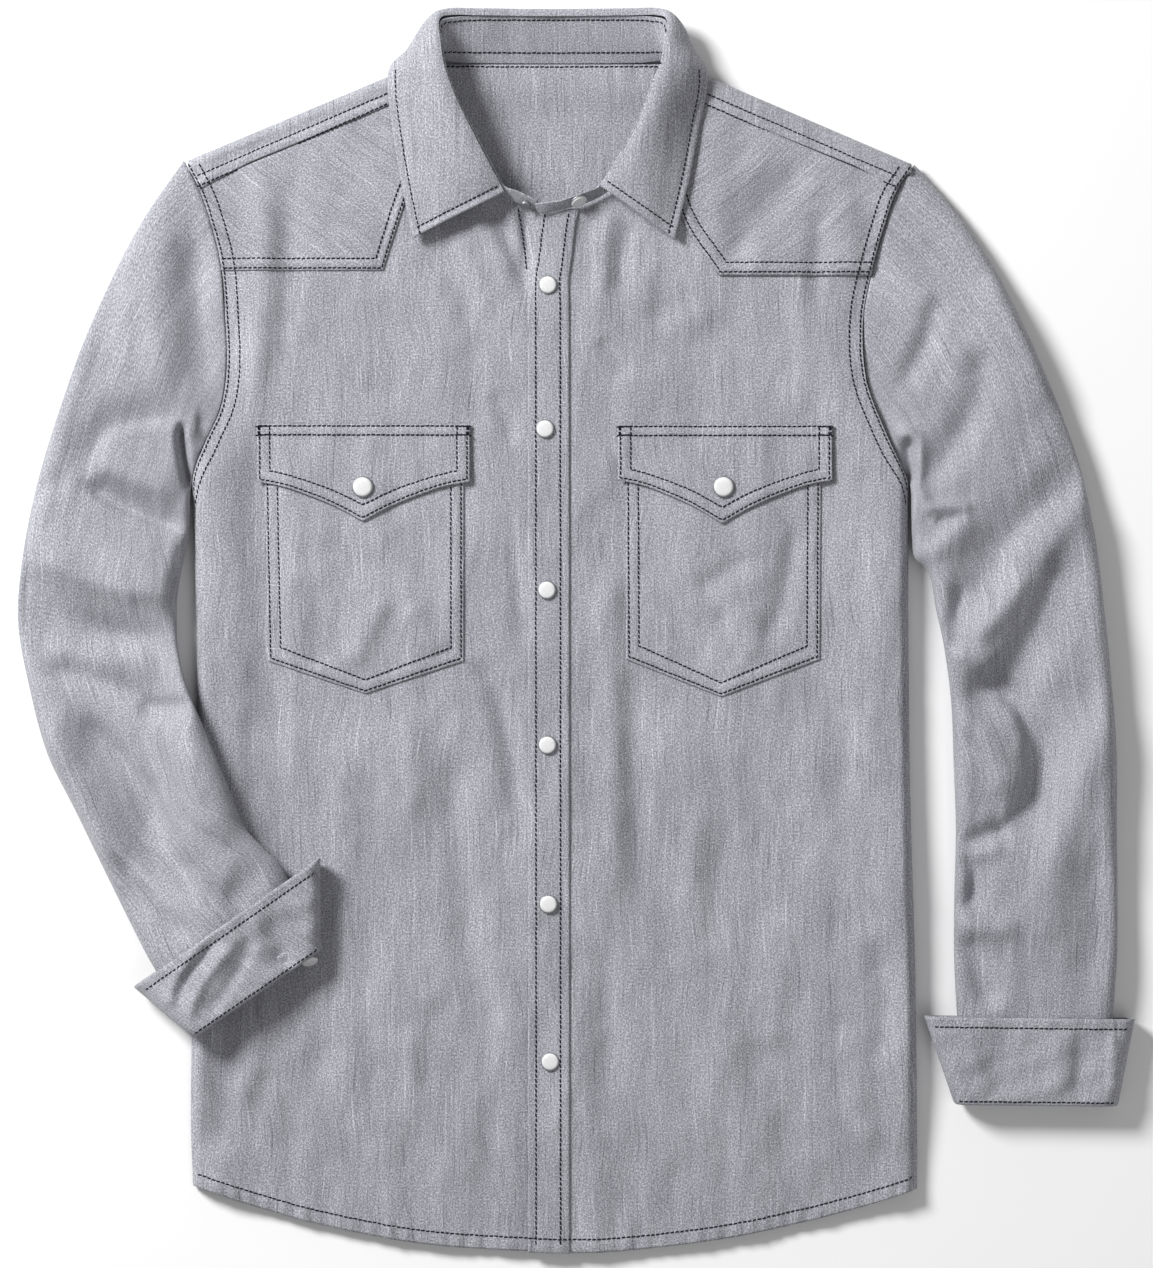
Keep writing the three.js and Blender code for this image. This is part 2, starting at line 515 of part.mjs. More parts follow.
function back() {
  const columns = 12;
  const lowRows = 4;
  const armRows = 9;
  const grid = [];
  for (let i = 0; i <= columns; i += 1) {
    grid.push([]);
    for (let j = 0; j <= lowRows + armRows; j += 1) {
      const flat = mix(-242, 214.5, i / columns);
      const y = j < lowRows
        ? mix(hemY(flat) + 1.6, 78, j / lowRows)
        : mix(78, YOKE_BACK_LOW_Y, (j - lowRows) / armRows);
      const x = mix(bodyEdge('right', y) + 1, bodyEdge('left', y) - 1, i / columns);
      grid[i].push(new THREE.Vector3(x, y, CLOTH));
    }
  }
  return wall('back', grid, CLOTH, { upright: true });
}

// Back yoke: flat under the body, rolled over each shoulder and down to the forward seam
function backYoke() {
  const bottom = 8;
  const roll = 6;
  const forward = 2;
  const shares = [];
  const neckRight = SEAM_NECK.right.x;
  const neckLeft = SEAM_NECK.left.x;
  const side = 9;
  const middle = 8;
  for (let k = 0; k <= side; k += 1) shares.push({ zone: 'right', t: k / side });
  for (let k = 1; k < middle; k += 1) shares.push({ zone: 'neck', t: k / middle });
  for (let k = 0; k <= side; k += 1) shares.push({ zone: 'left', t: k / side });
  const columnX = (column, y) => {
    const right = bodyEdge('right', Math.min(y, 295)) + 2 * GAP;
    const left = bodyEdge('left', Math.min(y, 293)) - 2 * GAP;
    if (column.zone === 'right') return mix(right, neckRight, column.t);
    if (column.zone === 'left') return mix(neckLeft, left, column.t);
    return mix(neckRight, neckLeft, column.t);
  };
  const grid = shares.map((column) => {
    const points = [];
    const shoulder = column.zone === 'left' ? 'left' : 'right';
    const foldX = columnX(column, 292);
    const fold = column.zone === 'neck' ? NECK_BACK_Y : shoulderY(shoulder, foldX);
    const flatEnd = column.zone === 'neck' ? NECK_BACK_Y : fold - SHOULDER_ROLL;
    for (let j = 0; j <= bottom; j += 1) {
      const y = mix(YOKE_BACK_LOW_Y + GAP, flatEnd, j / bottom);
      const x = columnX(column, y);
      points.push(new THREE.Vector3(x, y, underLift(x, y)));
    }
    const seamY = mixPoint([SEAM_TIP[shoulder].x, SEAM_TIP[shoulder].y], [SEAM_NECK[shoulder].x, SEAM_NECK[shoulder].y],
      column.zone === 'right' ? column.t : 1 - column.t)[1] + GAP;
    const topZ = frontTop(shoulder, foldX, seamY) + LAID_GAP + OVERLAY;
    const low = underLift(foldX, flatEnd);
    for (let j = 1; j <= roll; j += 1) {
      const turn = Math.PI * j / roll;
      const y = flatEnd + SHOULDER_ROLL * Math.sin(turn);
      const z = mix(low, topZ, 0.5 - 0.5 * Math.cos(turn));
      points.push(new THREE.Vector3(foldX, y, z));
    }
    for (let j = 1; j <= forward; j += 1) {
      const y = mix(flatEnd, seamY, j / forward);
      const x = columnX(column, y);
      points.push(new THREE.Vector3(x, y, frontTop(shoulder, x, y) + LAID_GAP + OVERLAY));
    }
    return points;
  });
  grid.reverse();
  const first = side;
  const last = shares.length - 1 - side;
  const keep = (i, j) => j < bottom || i < first || i >= last;
  return wall('yoke_back', grid, CLOTH, { keep });
}

// What the right sleeve rests on: the surface, and then the body where its forearm lies on it
function sleeveRest(side, x, y) {
  if (side === 'left') return 0;
  const edge = bodyEdge('right', y);
  const width = mix(26, 50, 1 - ease(-190, -80, y));
  const over = ease(edge + 2 - width, edge + 2, x) * (1 - ease(-30, 20, y));
  return over * (frontHeight(Math.max(x, edge + 12), y) + 0.6);
}

// One ring of a flattened tube between two plan points: rounded edges, flat under, full or hollow on top
function flatRing(outer, inner, bend, rest, high, hollow, folds, inset, counts) {
  const width = Math.hypot(inner[0] - outer[0], inner[1] - outer[1]);
  const radius = Math.min(SLEEVE_EDGE_RADIUS, width / 3);
  const points = [];
  const add = (off, rise) => {
    const share = off / width;
    const shift = bend(share);
    const x = mix(outer[0], inner[0], share) + shift[0];
    const y = mix(outer[1], inner[1], share) + shift[1];
    const middle = Math.sin(Math.PI * Math.min(1, Math.max(0, (off - radius) / (width - 2 * radius)))) ** 2;
    const low = rest(x, y) + inset;
    const crown = (hollow + foldHeight(folds, x, y)) * ease(0, radius * 1.5, off) * ease(0, radius * 1.5, width - off);
    const top = rest(x, y) + Math.max(5, high + crown * Math.max(middle, 0.75)) - inset;
    points.push(new THREE.Vector3(x, y, mix(low, top, rise)));
  };
  const arc = radius - inset;
  for (let k = 0; k <= counts.arc; k += 1) {
    const turn = mix(-0.5, 0.5, k / counts.arc) * Math.PI;
    add(radius - arc * Math.cos(turn), 0.5 + 0.5 * Math.sin(turn));
  }
  for (let k = 1; k < counts.top; k += 1) add(mix(radius, width - radius, k / counts.top), 1);
  for (let k = 0; k <= counts.arc; k += 1) {
    const turn = mix(0.5, -0.5, k / counts.arc) * Math.PI;
    add(width - radius + arc * Math.cos(turn), 0.5 + 0.5 * Math.sin(turn));
  }
  for (let k = 1; k < counts.bottom; k += 1) add(mix(width - radius, radius, k / counts.bottom), 0);
  return points;
}

function sleeve(side) {
  const table = SLEEVE[side].map((row, k) => ({ ...row, k }));
  const first = table[0];
  const armhole = (share) => {
    const y = mix(first.oy, first.iy, share);
    return [bodyEdge(side, y) - mix(first.ox, first.ix, share), 0];
  };
  const steps = 19;
  const last = table.length - 1;
  const ring = (at, inset) => {
    const value = (name) => read(table, 'k', name, at);
    const bow = Math.max(0, value('bow'));
    const bend = (share) => armhole(share).map((shift) => shift * bow);
    const rest = (x, y) => sleeveRest(side, x, y) + value('lift');
    return flatRing([value('ox'), value('oy')], [value('ix'), value('iy')], bend, rest, value('high'),
      value('hollow'), SLEEVE_FOLDS, inset, { arc: 4, top: 7, bottom: 7 });
  };
  const outside = [];
  const inside = [];
  for (let k = 0; k <= steps; k += 1) {
    outside.push(ring(last * k / steps, 0));
    inside.unshift(ring(last * k / steps, CLOTH));
  }
  return tube(`sleeve_${side}`, [...outside, ...inside]);
}

// Cuff turned back over the sleeve end: an outer layer from its free edge to the fold and a short return inside
function cuff(side) {
  const c = CUFF[side];
  const none = () => [0, 0];
  const counts = { arc: 4, top: 6, bottom: 5 };
  const ring = (share, inset, high) => {
    const outer = mixPoint(c.foldOuter, c.freeOuter, share);
    const inner = mixPoint(c.foldInner, c.freeInner, share);
    const rest = (x, y) => sleeveRest(side, x, y) * 1.04 + 0.1;
    return flatRing(outer, inner, none, rest, high, 0, [], inset, counts);
  };
  const length = Math.hypot(c.freeOuter[0] - c.foldOuter[0], c.freeOuter[1] - c.foldOuter[1]);
  const high = (share) => mix(c.foldHigh, c.freeHigh, share);
  const deep = CUFF_RETURN / length;
  const profile = [
    { share: 1, inset: 0 }, { share: 0.66, inset: 0 }, { share: 0.33, inset: 0 }, { share: 0.04, inset: 0 },
    { share: 0, inset: 0.8 }, { share: 0, inset: 2.4 }, { share: 0.04, inset: 2 * BAND + GAP },
    { share: deep, inset: 2 * BAND + GAP }, { share: deep, inset: BAND + GAP }, { share: 0.06, inset: BAND + GAP },
    { share: 0.06, inset: BAND }, { share: 0.33, inset: BAND }, { share: 0.66, inset: BAND }, { share: 1, inset: BAND },
  ];
  return tube(`cuff_${side}`, profile.map((step) => ring(step.share, step.inset, high(step.share))));
}

// Collar sections run from the wearer's right front edge round the back to the left one
function collarRows(table, build) {
  const right = table.map((row) => build(row, 'r'));
  const left = table.slice(0, -1).map((row) => build(row, 'l')).reverse();
  return [...right, ...left];
}

function leafSection(row, side) {
  const out = side === 'r' ? -1 : 1;
  const turn = row.face * Math.PI / 180;
  const way = [out * Math.cos(turn), Math.sin(turn)];
  const start = [row[`${side}fx`], row.fy, row.fz];
  const end = [row[`${side}ex`], row.ey, row.ez];
  const one = [start[0] + way[0] * row.out, start[1] + way[1] * row.out, start[2] + row.up];
  const two = [end[0] + way[0] * row.back, end[1] + way[1] * row.back, end[2] + row.lift];
  const points = [];
  const steps = 7;
  for (let k = 0; k <= steps; k += 1) {
    const t = k / steps;
    const s = 1 - t;
    points.push(new THREE.Vector3(...start.map((value, axis) => s * s * s * value + 3 * s * s * t * one[axis]
      + 3 * s * t * t * two[axis] + t * t * t * end[axis])));
  }
  return points;
}

function collarLeaf() {
  return wall('collar_leaf', collarRows(COLLAR_LEAF, leafSection), BAND);
}

function standSection(row, side) {
  const seam = new THREE.Vector3(row[`${side}sx`], row.sy, row.sz);
  const top = new THREE.Vector3(row[`${side}tx`], row.ty, row.tz);
  return [0, 0.35, 0.7, 1].map((t) => new THREE.Vector3().lerpVectors(seam, top, t));
}

function collarStand() {
  return wall('collar_stand', collarRows(COLLAR_STAND, standSection), BAND * 0.75);
}

// Snap cap: a pearl dome in a thin rim, its axis along its own Z
function snap(name, size, material, x, y, z, tiltX = 0, tiltY = 0) {
  const r = size.radius;
  const h = size.high;
  const profile = [[0, 0], [r * 0.96, 0], [r, h * 0.3], [r * 0.9, h * 0.68], [r * 0.6, h * 0.92], [0, h]];
  const positions = [new THREE.Vector3(0, 0, 0)];
  const faces = [];
  for (let ring = 1; ring < profile.length - 1; ring += 1) {
    for (let k = 0; k < SNAP_SIDES; k += 1) {
      const turn = 2 * Math.PI * k / SNAP_SIDES;
      positions.push(new THREE.Vector3(profile[ring][0] * Math.cos(turn), profile[ring][0] * Math.sin(turn), profile[ring][1]));
    }
  }
  positions.push(new THREE.Vector3(0, 0, h));
  const top = positions.length - 1;
  const lastRing = 1 + (profile.length - 3) * SNAP_SIDES;
  for (let k = 0; k < SNAP_SIDES; k += 1) {
    const next = (k + 1) % SNAP_SIDES;
    faces.push([0, 1 + next, 1 + k], [top, lastRing + k, lastRing + next]);
    for (let ring = 0; ring < profile.length - 3; ring += 1) {
      const a = 1 + ring * SNAP_SIDES;
      const b = a + SNAP_SIDES;
      faces.push([a + k, a + next, b + next], [a + k, b + next, b + k]);
    }
  }
  const tilt = new THREE.Matrix4().makeRotationFromEuler(new THREE.Euler(tiltX, tiltY, 0));
  const place = new THREE.Matrix4().makeTranslation(x, y, z).multiply(tilt);
  positions.forEach((point) => point.applyMatrix4(place));
  return body(name, positions, faces, material);
}

function snaps() {
  const made = PLACKET_SNAPS.map((at, k) => snap(`snap_placket_${k + 1}`, SNAP_SMALL, pearl, at.x, at.y,
    leftFrontHeight(at.x, at.y) + CLOTH + LAID_GAP + 2 * GAP));
  for (const side of ['right', 'left']) {
    const at = FLAP_SNAPS[side];
    const z = frontTop(side, at.x, at.y) + 2 * OVERLAY + 2 * LAID_GAP + 2 * GAP + FLAP_KICK * 0.5 + 0.6;
    made.push(snap(`snap_flap_${side}`, SNAP_LARGE, pearl, at.x, at.y, z));
  }
  made.push(snap('snap_collar', SNAP_SMALL, pearl, 0.3, 269.6, 20.1, 0.8, 0));
  made.push(snap('stud_collar', { radius: 3.4, high: 2.2 }, metal, -31.7, 269.3, 20.3, 0.8, 0));
  made.push(snap('snap_cuff_right', SNAP_SMALL, pearl, -167.9, -206.9, 20, 1.0, 0.5));
  return made;
}

const shirt = new THREE.Group();
shirt.name = 'western_snap_shirt';
shirt.add(back(), backYoke(), front('right'), front('left'));
shirt.add(frontYoke('right'), frontYoke('left'), placket());
shirt.add(pocket('right'), pocket('left'), flap('right'), flap('left'));
shirt.add(sleeve('right'), sleeve('left'), cuff('right'), cuff('left'));
shirt.add(collarStand(), collarLeaf(), ...snaps());

export default shirt;
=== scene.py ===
# Looks of the western snap shirt: thin cloth shells on the frame's solids, with their creases, stitches,
# snaps and materials. Tables are in millimetres in the row frame, and MM turns them to metres.
import math

import bpy
import numpy as np
from mathutils import Euler, Matrix, Vector
from mathutils.bvhtree import BVHTree

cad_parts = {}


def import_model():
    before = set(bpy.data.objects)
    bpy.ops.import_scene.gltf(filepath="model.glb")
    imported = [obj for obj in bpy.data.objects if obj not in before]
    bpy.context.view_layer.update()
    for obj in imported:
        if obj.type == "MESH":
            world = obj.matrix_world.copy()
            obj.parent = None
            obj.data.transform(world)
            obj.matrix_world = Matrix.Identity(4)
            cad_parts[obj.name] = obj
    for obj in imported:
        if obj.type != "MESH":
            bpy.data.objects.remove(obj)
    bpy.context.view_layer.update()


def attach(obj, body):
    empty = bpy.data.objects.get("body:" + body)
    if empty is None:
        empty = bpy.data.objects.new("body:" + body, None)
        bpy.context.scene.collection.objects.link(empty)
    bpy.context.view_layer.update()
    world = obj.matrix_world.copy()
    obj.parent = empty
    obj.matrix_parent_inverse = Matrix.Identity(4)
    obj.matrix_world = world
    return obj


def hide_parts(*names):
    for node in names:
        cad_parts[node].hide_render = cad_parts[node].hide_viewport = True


MM = 0.001
SEED = 7

# Cloth thicknesses and gaps between layers
CLOTH = 1.0
BAND = 1.5
OVERLAY = 1.0
LAID_GAP = 0.45
GAP = 0.3

# Heights of the laid body
SIDE_ROLL = 7
SIDE_SEAM_Z = 2.2
CHEST_Z = 11
HEM_SHARE = 0.6
HEM_FADE = 95
ARMPIT_LOW = 72
ARMPIT_HIGH = 118
OVERLAP_RISE = 1.7
NECK_X = -14
NECK_BACK_Y = 357.5
NECK_LIFT = 3.2
YOKE_BACK_LOW_Y = 238
SHOULDER_ROLL = 6

# Way from each side towards the middle of the body, along X
INWARD = {"right": 1, "left": -1}

# Strength of the crease tables and of the hem's puckers
BODY_FOLD_GAIN = 1.8
SLEEVE_FOLD_GAIN = 1.45
CUFF_FOLD_GAIN = 1.5
HEM_GAIN = 0.6

# Puckers of the hem: their lean, radians of wave a millimetre, heights, and where they sit above the edge
HEM_LEAN = 0.45
HEM_WAVE_RATE = 0.58
HEM_WAVE_HIGH = 2.4
HEM_SWELL_HIGH = 1.3
HEM_MIDDLE = 4.5
HEM_HALF = 4.2

# The front yokes are cut across the cloth: how far their lengthwise yarns lean, in degrees
GRAIN_TURN = {"yoke_front_right": 52, "yoke_front_left": -52}

# Stitches
STITCH_PITCH = 3.1
STITCH_LENGTH = 2.65
STITCH_RADIUS = 0.5
STITCH_SLANT = 0.12

# Sewn rows: how far in from an edge or a seam, their share of the way to the other side, or their path
ROW_EDGE = 1.9
ROW_INNER = 8.2
HEM_ROW = 8.4
LEAF_ROW = 5.2
YOKE_ROWS = (1.6, 7.6)
SHOULDER_ROWS = (-0.6, 6.2)
ARMHOLE_ROWS = ({"into": 2.0, "low": 88}, {"into": 8.8, "low": 80})
PLACKET_ROWS = {"free": 5.1, "seam": -5.8}
CUFF_ROW_SHARES = (0.885, 0.04)
STAND_ROW_SHARES = (0.22, 0.98)
UNDERLAP_ROW = [(-36.9, 266.5), (-34.3, 250.7), (-32.4, 237.5), (-31.6, 228)]


def table(names, *rows):
    return dict(zip(names.split(), np.array(rows, float).T))


# Edge of the body in plan: side seam up to the armpit, then the armhole up to the shoulder tip
BODY_EDGE = {
    "right": table(
        "y x",
        (-400, -242.0), (-349.7, -242.2), (-308, -243.5), (-165, -241.5), (-24.6, -239.7), (13.2, -240.3),
        (79.4, -242.2), (98.3, -241.8), (118, -234.5), (140.5, -224.6), (166.3, -220.8), (202.2, -222.1),
        (233.1, -224.8), (256, -230.4), (276.6, -237.4), (296.7, -247.9),
    ),
    "left": table(
        "y x",
        (-400, 215.3), (-351.5, 215.1), (-327, 215.1), (-213.6, 213.9), (-100, 210.7), (13.2, 209.5),
        (82.5, 209.5), (95.1, 208.6), (124.7, 195.3), (158.1, 183.0), (197.2, 181.1), (230.6, 187.4),
        (256, 194.6), (276.6, 201.8), (294.2, 213.3),
    ),
}
HEM = table(
    "x y",
    (-250, -347.5), (-242.2, -349.7), (-202.5, -362.9), (-159.1, -374.9), (-98.6, -386.2), (-29.3, -391.2),
    (20, -391.6), (90.4, -383.7), (142.7, -373), (186.2, -361.3), (215.1, -351.5), (222, -349),
)
HEM_CORNER_Y = {"right": -349.7, "left": -351.5}
SHOULDER_TIP = {"right": (-247.9, 295.5), "left": (213.3, 293.6)}
SHOULDER_NECK = {"right": (-118.8, 349.7), "left": (82.8, 349.7)}
SEAM_TIP = {"right": (-239.1, 280.4), "left": (201.3, 280.4)}
SEAM_NECK = {"right": (-96, 342.5), "left": (68, 338.2)}
NECKLINE = {
    "right": [(-96, 342.5), (-88, 326), (-74, 305), (-60, 289.5), (-46, 277), (-30, 269), (-8, 265.8)],
    "left": [(68, 338.2), (60, 324), (46, 304), (32, 289.5), (18, 277), (2, 269.3), (-24, 265.8)],
}
PLACKET_EDGE = table(
    "y free seam",
    (-400, -30.6, -4.3), (-200, -30.6, -4.3), (200, -30.8, -4.5), (222, -30.6, -4.7),
    (235, -28.6, -2.9), (255, -26.1, -0.6), (266, -24.3, 1.8),
)
PLACKET_TOP_Y = 265

# Thick ridge along each side seam, where the laid body rolls under: distance in, width and height
SIDE_RIDGE = {"right": (14, 24, 4.8), "left": (10, 27, 6.8)}

# Soft creases of the body: a curve from 1 over 2 to 3 in plan, half widths on the left and right of that way,
# and height (a trough is negative)
BODY_FOLDS = table(
    "x1 y1 x2 y2 x3 y3 left right height",
    (-198, 300, -196, 215, -206, 140, 11, 11, 2.3),
    (-184, 285, -182, 215, -188, 150, 9, 9, -1.2),
    (-205, 130, -198, 40, -192, -75, 13, 13, -2.8),
    (-163, 40, -163, 0, -160, -24, 8, 8, -1.3),
    (-143, -24, -132, 0, -119, 24, 8, 8, 1.5),
    (-114, 66, -100, 48, -92, 20, 9, 11, -0.9),
    (-176, 56, -146, 46, -96, 36, 10, 10, -0.9),
    (-104, 18, -96, 2, -84, -14, 7, 7, 1.1),
    (-38, 66, -36, 20, -32, -8, 5.5, 5.5, -1.3),
    (-52, 152, -46, 135, -38, 116, 5, 5, -1.2),
    (-63, -18, -46, -56, -35, -130, 7.5, 7.5, -2.2),
    (-77, -75, -72, -150, -51, -292, 10, 10, -2.0),
    (-107, -50, -103, -85, -104, -120, 10, 10, 1.6),
    (-88, -232, -92, -262, -95, -298, 7.5, 7.5, -1.3),
    (-106, -250, -106, -285, -107, -320, 9, 9, 1.1),
    (-226, -252, -222, -295, -228, -332, 9.5, 9.5, -2.4),
    (-209, -238, -205, -270, -212, -300, 9, 9, 1.4),
    (-197, -276, -200, -300, -208, -330, 8, 8, -1.1),
    (-152, -252, -168, -290, -176, -335, 12, 12, -1.0),
    (-140, -60, -146, -130, -138, -210, 13, 13, 1.0),
    (80, 195, 108, 175, 138, 146, 10, 10, -1.5),
    (14, 184, 22, 172, 33, 160, 7, 7, -1.1),
    (48, 190, 60, 204, 76, 214, 8, 8, -0.9),
    (145, 292, 120, 268, 92, 228, 9, 9, -1.6),
    (120, 300, 102, 282, 80, 262, 8, 8, 0.9),
    (153, 266, 152, 240, 150, 196, 7, 7, -1.2),
    (168, 276, 173, 250, 171, 214, 9, 9, 1.3),
    (33, 108, 30, 40, 41, -10, 8, 8, -0.9),
    (14, 90, 18, 60, 14, 20, 9, 9, -0.9),
    (17, 40, 23, -40, 24, -190, 9, 11, 1.2),
    (34, -24, 38, -90, 51, -190, 11, 10, -1.3),
    (16, -190, 20, -250, 22, -330, 9, 9, -0.8),
    (60, -60, 72, -120, 70, -200, 11, 11, 0.9),
    (139, 74, 131, 24, 118, -10, 7, 7, -1.6),
    (76, 24, 92, 36, 111, 46, 7, 7, -1.1),
    (88, 14, 96, -6, 101, -22, 6, 6, -1.0),
    (108, 18, 112, 0, 110, -20, 7, 7, 1.0),
    (186, -196, 196, -236, 186, -276, 10, 10, -2.4),
    (170, -250, 176, -290, 188, -330, 11, 11, 1.3),
    (120, -255, 128, -290, 140, -340, 15, 15, -1.5),
    (92, -120, 100, -180, 96, -250, 13, 13, -1.0),
    (150, -60, 158, -120, 150, -200, 12, 12, 1.0),
    (-66, 258, -50, 246, -38, 214, 7, 7, 1.3),
    (-58, 270, -43, 246, -34, 212, 5, 7, -2.5),
    (-92, 248, -76, 222, -66, 190, 8, 8, -1.0),
    (-76, 246, -62, 222, -56, 196, 7, 7, 1.0),
    (-34, 268, -32, 246, -31, 205, 5, 4, -2.0),
    (6, 262, 8, 240, 9, 210, 5, 7, -1.3),
    (22, 264, 18, 244, 18, 214, 6, 6, 1.2),
    (38, 258, 30, 238, 28, 208, 6, 6, -1.1),
    (52, 236, 46, 222, 44, 200, 6, 7, 0.8),
    (-130, 210, -122, 170, -126, 140, 14, 14, -0.8),
    (-198, 150, -196, 60, -194, -40, 70, 14, 1.3),
)

# Sleeve creases, in the same columns
SLEEVE_FOLDS = table(
    "x1 y1 x2 y2 x3 y3 left right height",
    (-312, 96, -289, 129, -246, 130, 13, 4, -3.6),
    (-304, 106, -281, 98, -248, 86, 18, 8, 3.4),
    (-311, 94, -281, 76, -242, 62, 10, 3.5, -4.8),
    (-340, 52, -295, 30, -250, 27, 22, 10, 4.6),
    (-354, 52, -322, 6, -246, -5, 14, 28, -6.4),
    (-249, 131, -248, 112, -242.5, 86, 3, 2.8, -9.0),
    (-240, 132, -235, 128, -238, 114, 5, 5, -2.2),
    (-246, 54, -250, 40, -252, 24, 3, 4, -3.0),
    (-352, 84, -336, 92, -318, 92, 9, 9, -2.5),
    (-336, -10, -300, -18, -258, -16, 10, 14, 3.5),
    (-338, -22, -300, -32, -258, -50, 10, 7, -3.5),
    (-336, -50, -306, -110, -262, -182, 14, 20, 5),
    (-322, -54, -273, -101, -240, -184, 9, 16, -6.5),
    (-262, -52, -240, -94, -219, -134, 13, 12, 5),
    (-276, -46, -258, -49, -238, -42, 6, 6, -3.5),
    (-252, -140, -234, -162, -206, -172, 10, 8, -3),
    (-292, -140, -270, -170, -240, -196, 8, 10, -4),
    (-318, -92, -300, -134, -284, -166, 8, 9, 2),
    (-244, 270, -238, 205, -233, 150, 8, 12, -3.2),
    (-258, 262, -264, 205, -258, 140, 16, 12, 3.6),
    (-290, 236, -302, 190, -306, 150, 12, 14, -2.4),
    (-270, 250, -284, 200, -282, 160, 8, 8, 1.2),
    (246, 176, 252, 142, 214, 88, 9, 12, -4.0),
    (226, 212, 222, 184, 203, 152, 7, 8, -3.5),
    (202, 121, 211, 124.5, 218, 114, 3.5, 4, 2.6),
    (218, 120, 215, 98, 221, 73, 5.5, 3.5, 3.4),
    (209, 122, 210, 108, 210, 90, 4.5, 5, -4.6),
    (222, 100, 218, 91, 221, 80, 4, 3, -1.0),
    (217, 75, 234, 79, 250, 76, 3.5, 4.5, 2.4),
    (226, 71, 234, 70, 244, 74, 3, 3.5, -1.3),
    (249, 74, 236, 60, 218, 46, 9, 6, 2.6),
    (330, 98, 272, 60, 236, -18, 9, 16, -4.6),
    (316, 84, 302, 58, 288, 40, 9, 9, 2.2),
    (306, 60, 288, -2, 234, -56, 18, 10, -6.0),
    (284, 40, 268, 14, 248, -6, 8, 8, 3.5),
    (244, 30, 238, 8, 238, -14, 5, 5, -2.5),
    (238, -12, 250, -18, 262, -26, 7, 6, 3.5),
    (250, -26, 287, -68, 268, -130, 22, 4.5, -5.6),
    (232, -50, 260, -72, 270, -106, 13, 8, 3.8),
    (306, -20, 298, -82, 276, -130, 26, 12, -3.0),
    (272, -122, 258, -130, 240, -134, 7, 7, -4),
    (268, -132, 256, -138, 246, -142, 6, 6, 2.5),
    (243, -138, 250, -157, 243, -180, 8, 5, -4.5),
    (338, -42, 306, -130, 288, -206, 16, 14, 4.5),
    (241, -192, 252, -214, 262, -238, 10, 8, -3.5),
    (238, -180, 256, -187, 280, -184, 7, 8, 3),
    (322, -140, 328, -180, 320, -230, 12, 12, -2.2),
    (262, 226, 280, 190, 300, 150, 16, 16, 2.6),
    (300, 150, 312, 120, 322, 92, 10, 12, -2.2),
)

# Wrinkles of the turned back cuffs, where the fold pulls
CUFF_FOLDS = table(
    "x1 y1 x2 y2 x3 y3 left right height",
    (-219, -190, -243, -216, -248, -240, 3, 4, -2.2),
    (-208, -190, -235, -222, -241, -245, 4, 3, 1.7),
    (-199, -190, -218, -222, -232, -242, 4, 6, -1.4),
    (-196, -172, -186, -197, -184, -212, 6, 7, -1.8),
    (-206, -172, -200, -190, -202, -206, 5, 5, 1.0),
    (-276, -222, -262, -232, -252, -240, 3, 3, -1.0),
    (-232, -196, -252, -220, -254, -238, 3, 3, 1.0),
    (316, -252, 317, -272, 312, -292, 8, 5, -1.7),
    (300, -252, 303, -272, 302, -294, 8, 8, 1.4),
    (336, -252, 338, -272, 338, -294, 6, 4, 1.4),
    (262, -252, 266, -272, 268, -292, 9, 9, -1.2),
    (246, -252, 252, -274, 262, -290, 6, 6, 1.0),
)

# Sleeve rings from the armhole to the cuff: outer and inner edge in plan, height, share of the armhole's bow,
# how far the top is raised or hollowed, and how far the ring is lifted
SLEEVE = {
    "right": table(
        "ox oy ix iy high bow hollow lift",
        (-247.9, 296.7, -241.8, 98.3, 11, 1.0, 0, 0), (-273.7, 258.9, -243.3, 88, 15, 0.62, -1.5, 0),
        (-293, 222, -243.6, 79, 18, 0.32, -2, 0), (-310, 184, -244, 68, 20, 0.12, -2, 0),
        (-324, 145, -246, 52, 21, 0, -1, 0), (-336, 107, -249.2, 36, 22, 0, 0, 0),
        (-345, 70, -251.6, 20, 23, 0, 1, 0), (-350.5, 35, -251.6, 4, 23, 0, 1, 0),
        (-351.9, 5, -250.6, -12, 22, 0, 0, 0), (-346, -30, -245, -34, 21, 0, -1, 0),
        (-334, -76, -231, -68, 20, 0, -2, 0), (-316, -113, -219.5, -96, 19, 0, -2, 0),
        (-297, -152, -209, -122, 18, 0, -2, 0.6), (-281, -184, -196, -137, 16, 0, -1, 2.9),
        (-267.6, -209, -184, -150.5, 14, 0, 0, 2.9), (-247.5, -240.5, -169.5, -186, 13, 0, 0, 2.9),
    ),
    "left": table(
        "ox oy ix iy high bow hollow lift",
        (213.3, 294.2, 208.6, 95.1, 11, 1.0, 0, 0), (238, 266, 210.6, 88, 15, 0.62, -1.5, 0),
        (258, 237, 210.8, 79, 18, 0.32, -2, 0), (277, 203, 211, 70, 20, 0.12, -2, 0),
        (292, 170, 211.4, 58, 21, 0, -1, 0), (306, 136, 213, 46, 22, 0, -1, 0),
        (318, 100, 222, 36, 23, 0, -1, 0), (327, 58, 226.5, 13, 24, 0, -2, 0),
        (332.5, 14, 231.5, -10, 24, 0, -3, 0), (337, -30, 236, -45, 23, 0, -4, 0),
        (340.5, -78, 237.6, -85, 22, 0, -4, 0), (340.6, -122, 239, -125, 21, 0, -3, 0),
        (341, -166, 238, -168, 20, 0, -3, 0.6), (340.6, -206, 237.8, -206, 18, 0, -2, 2.9),
        (338.2, -243, 239.7, -243, 16, 0, -1, 2.9), (336, -285.7, 243.2, -284.5, 13, 0, 0, 2.9),
    ),
}
SLEEVE_EDGE_RADIUS = 10
SLEEVE_RINGS = 230
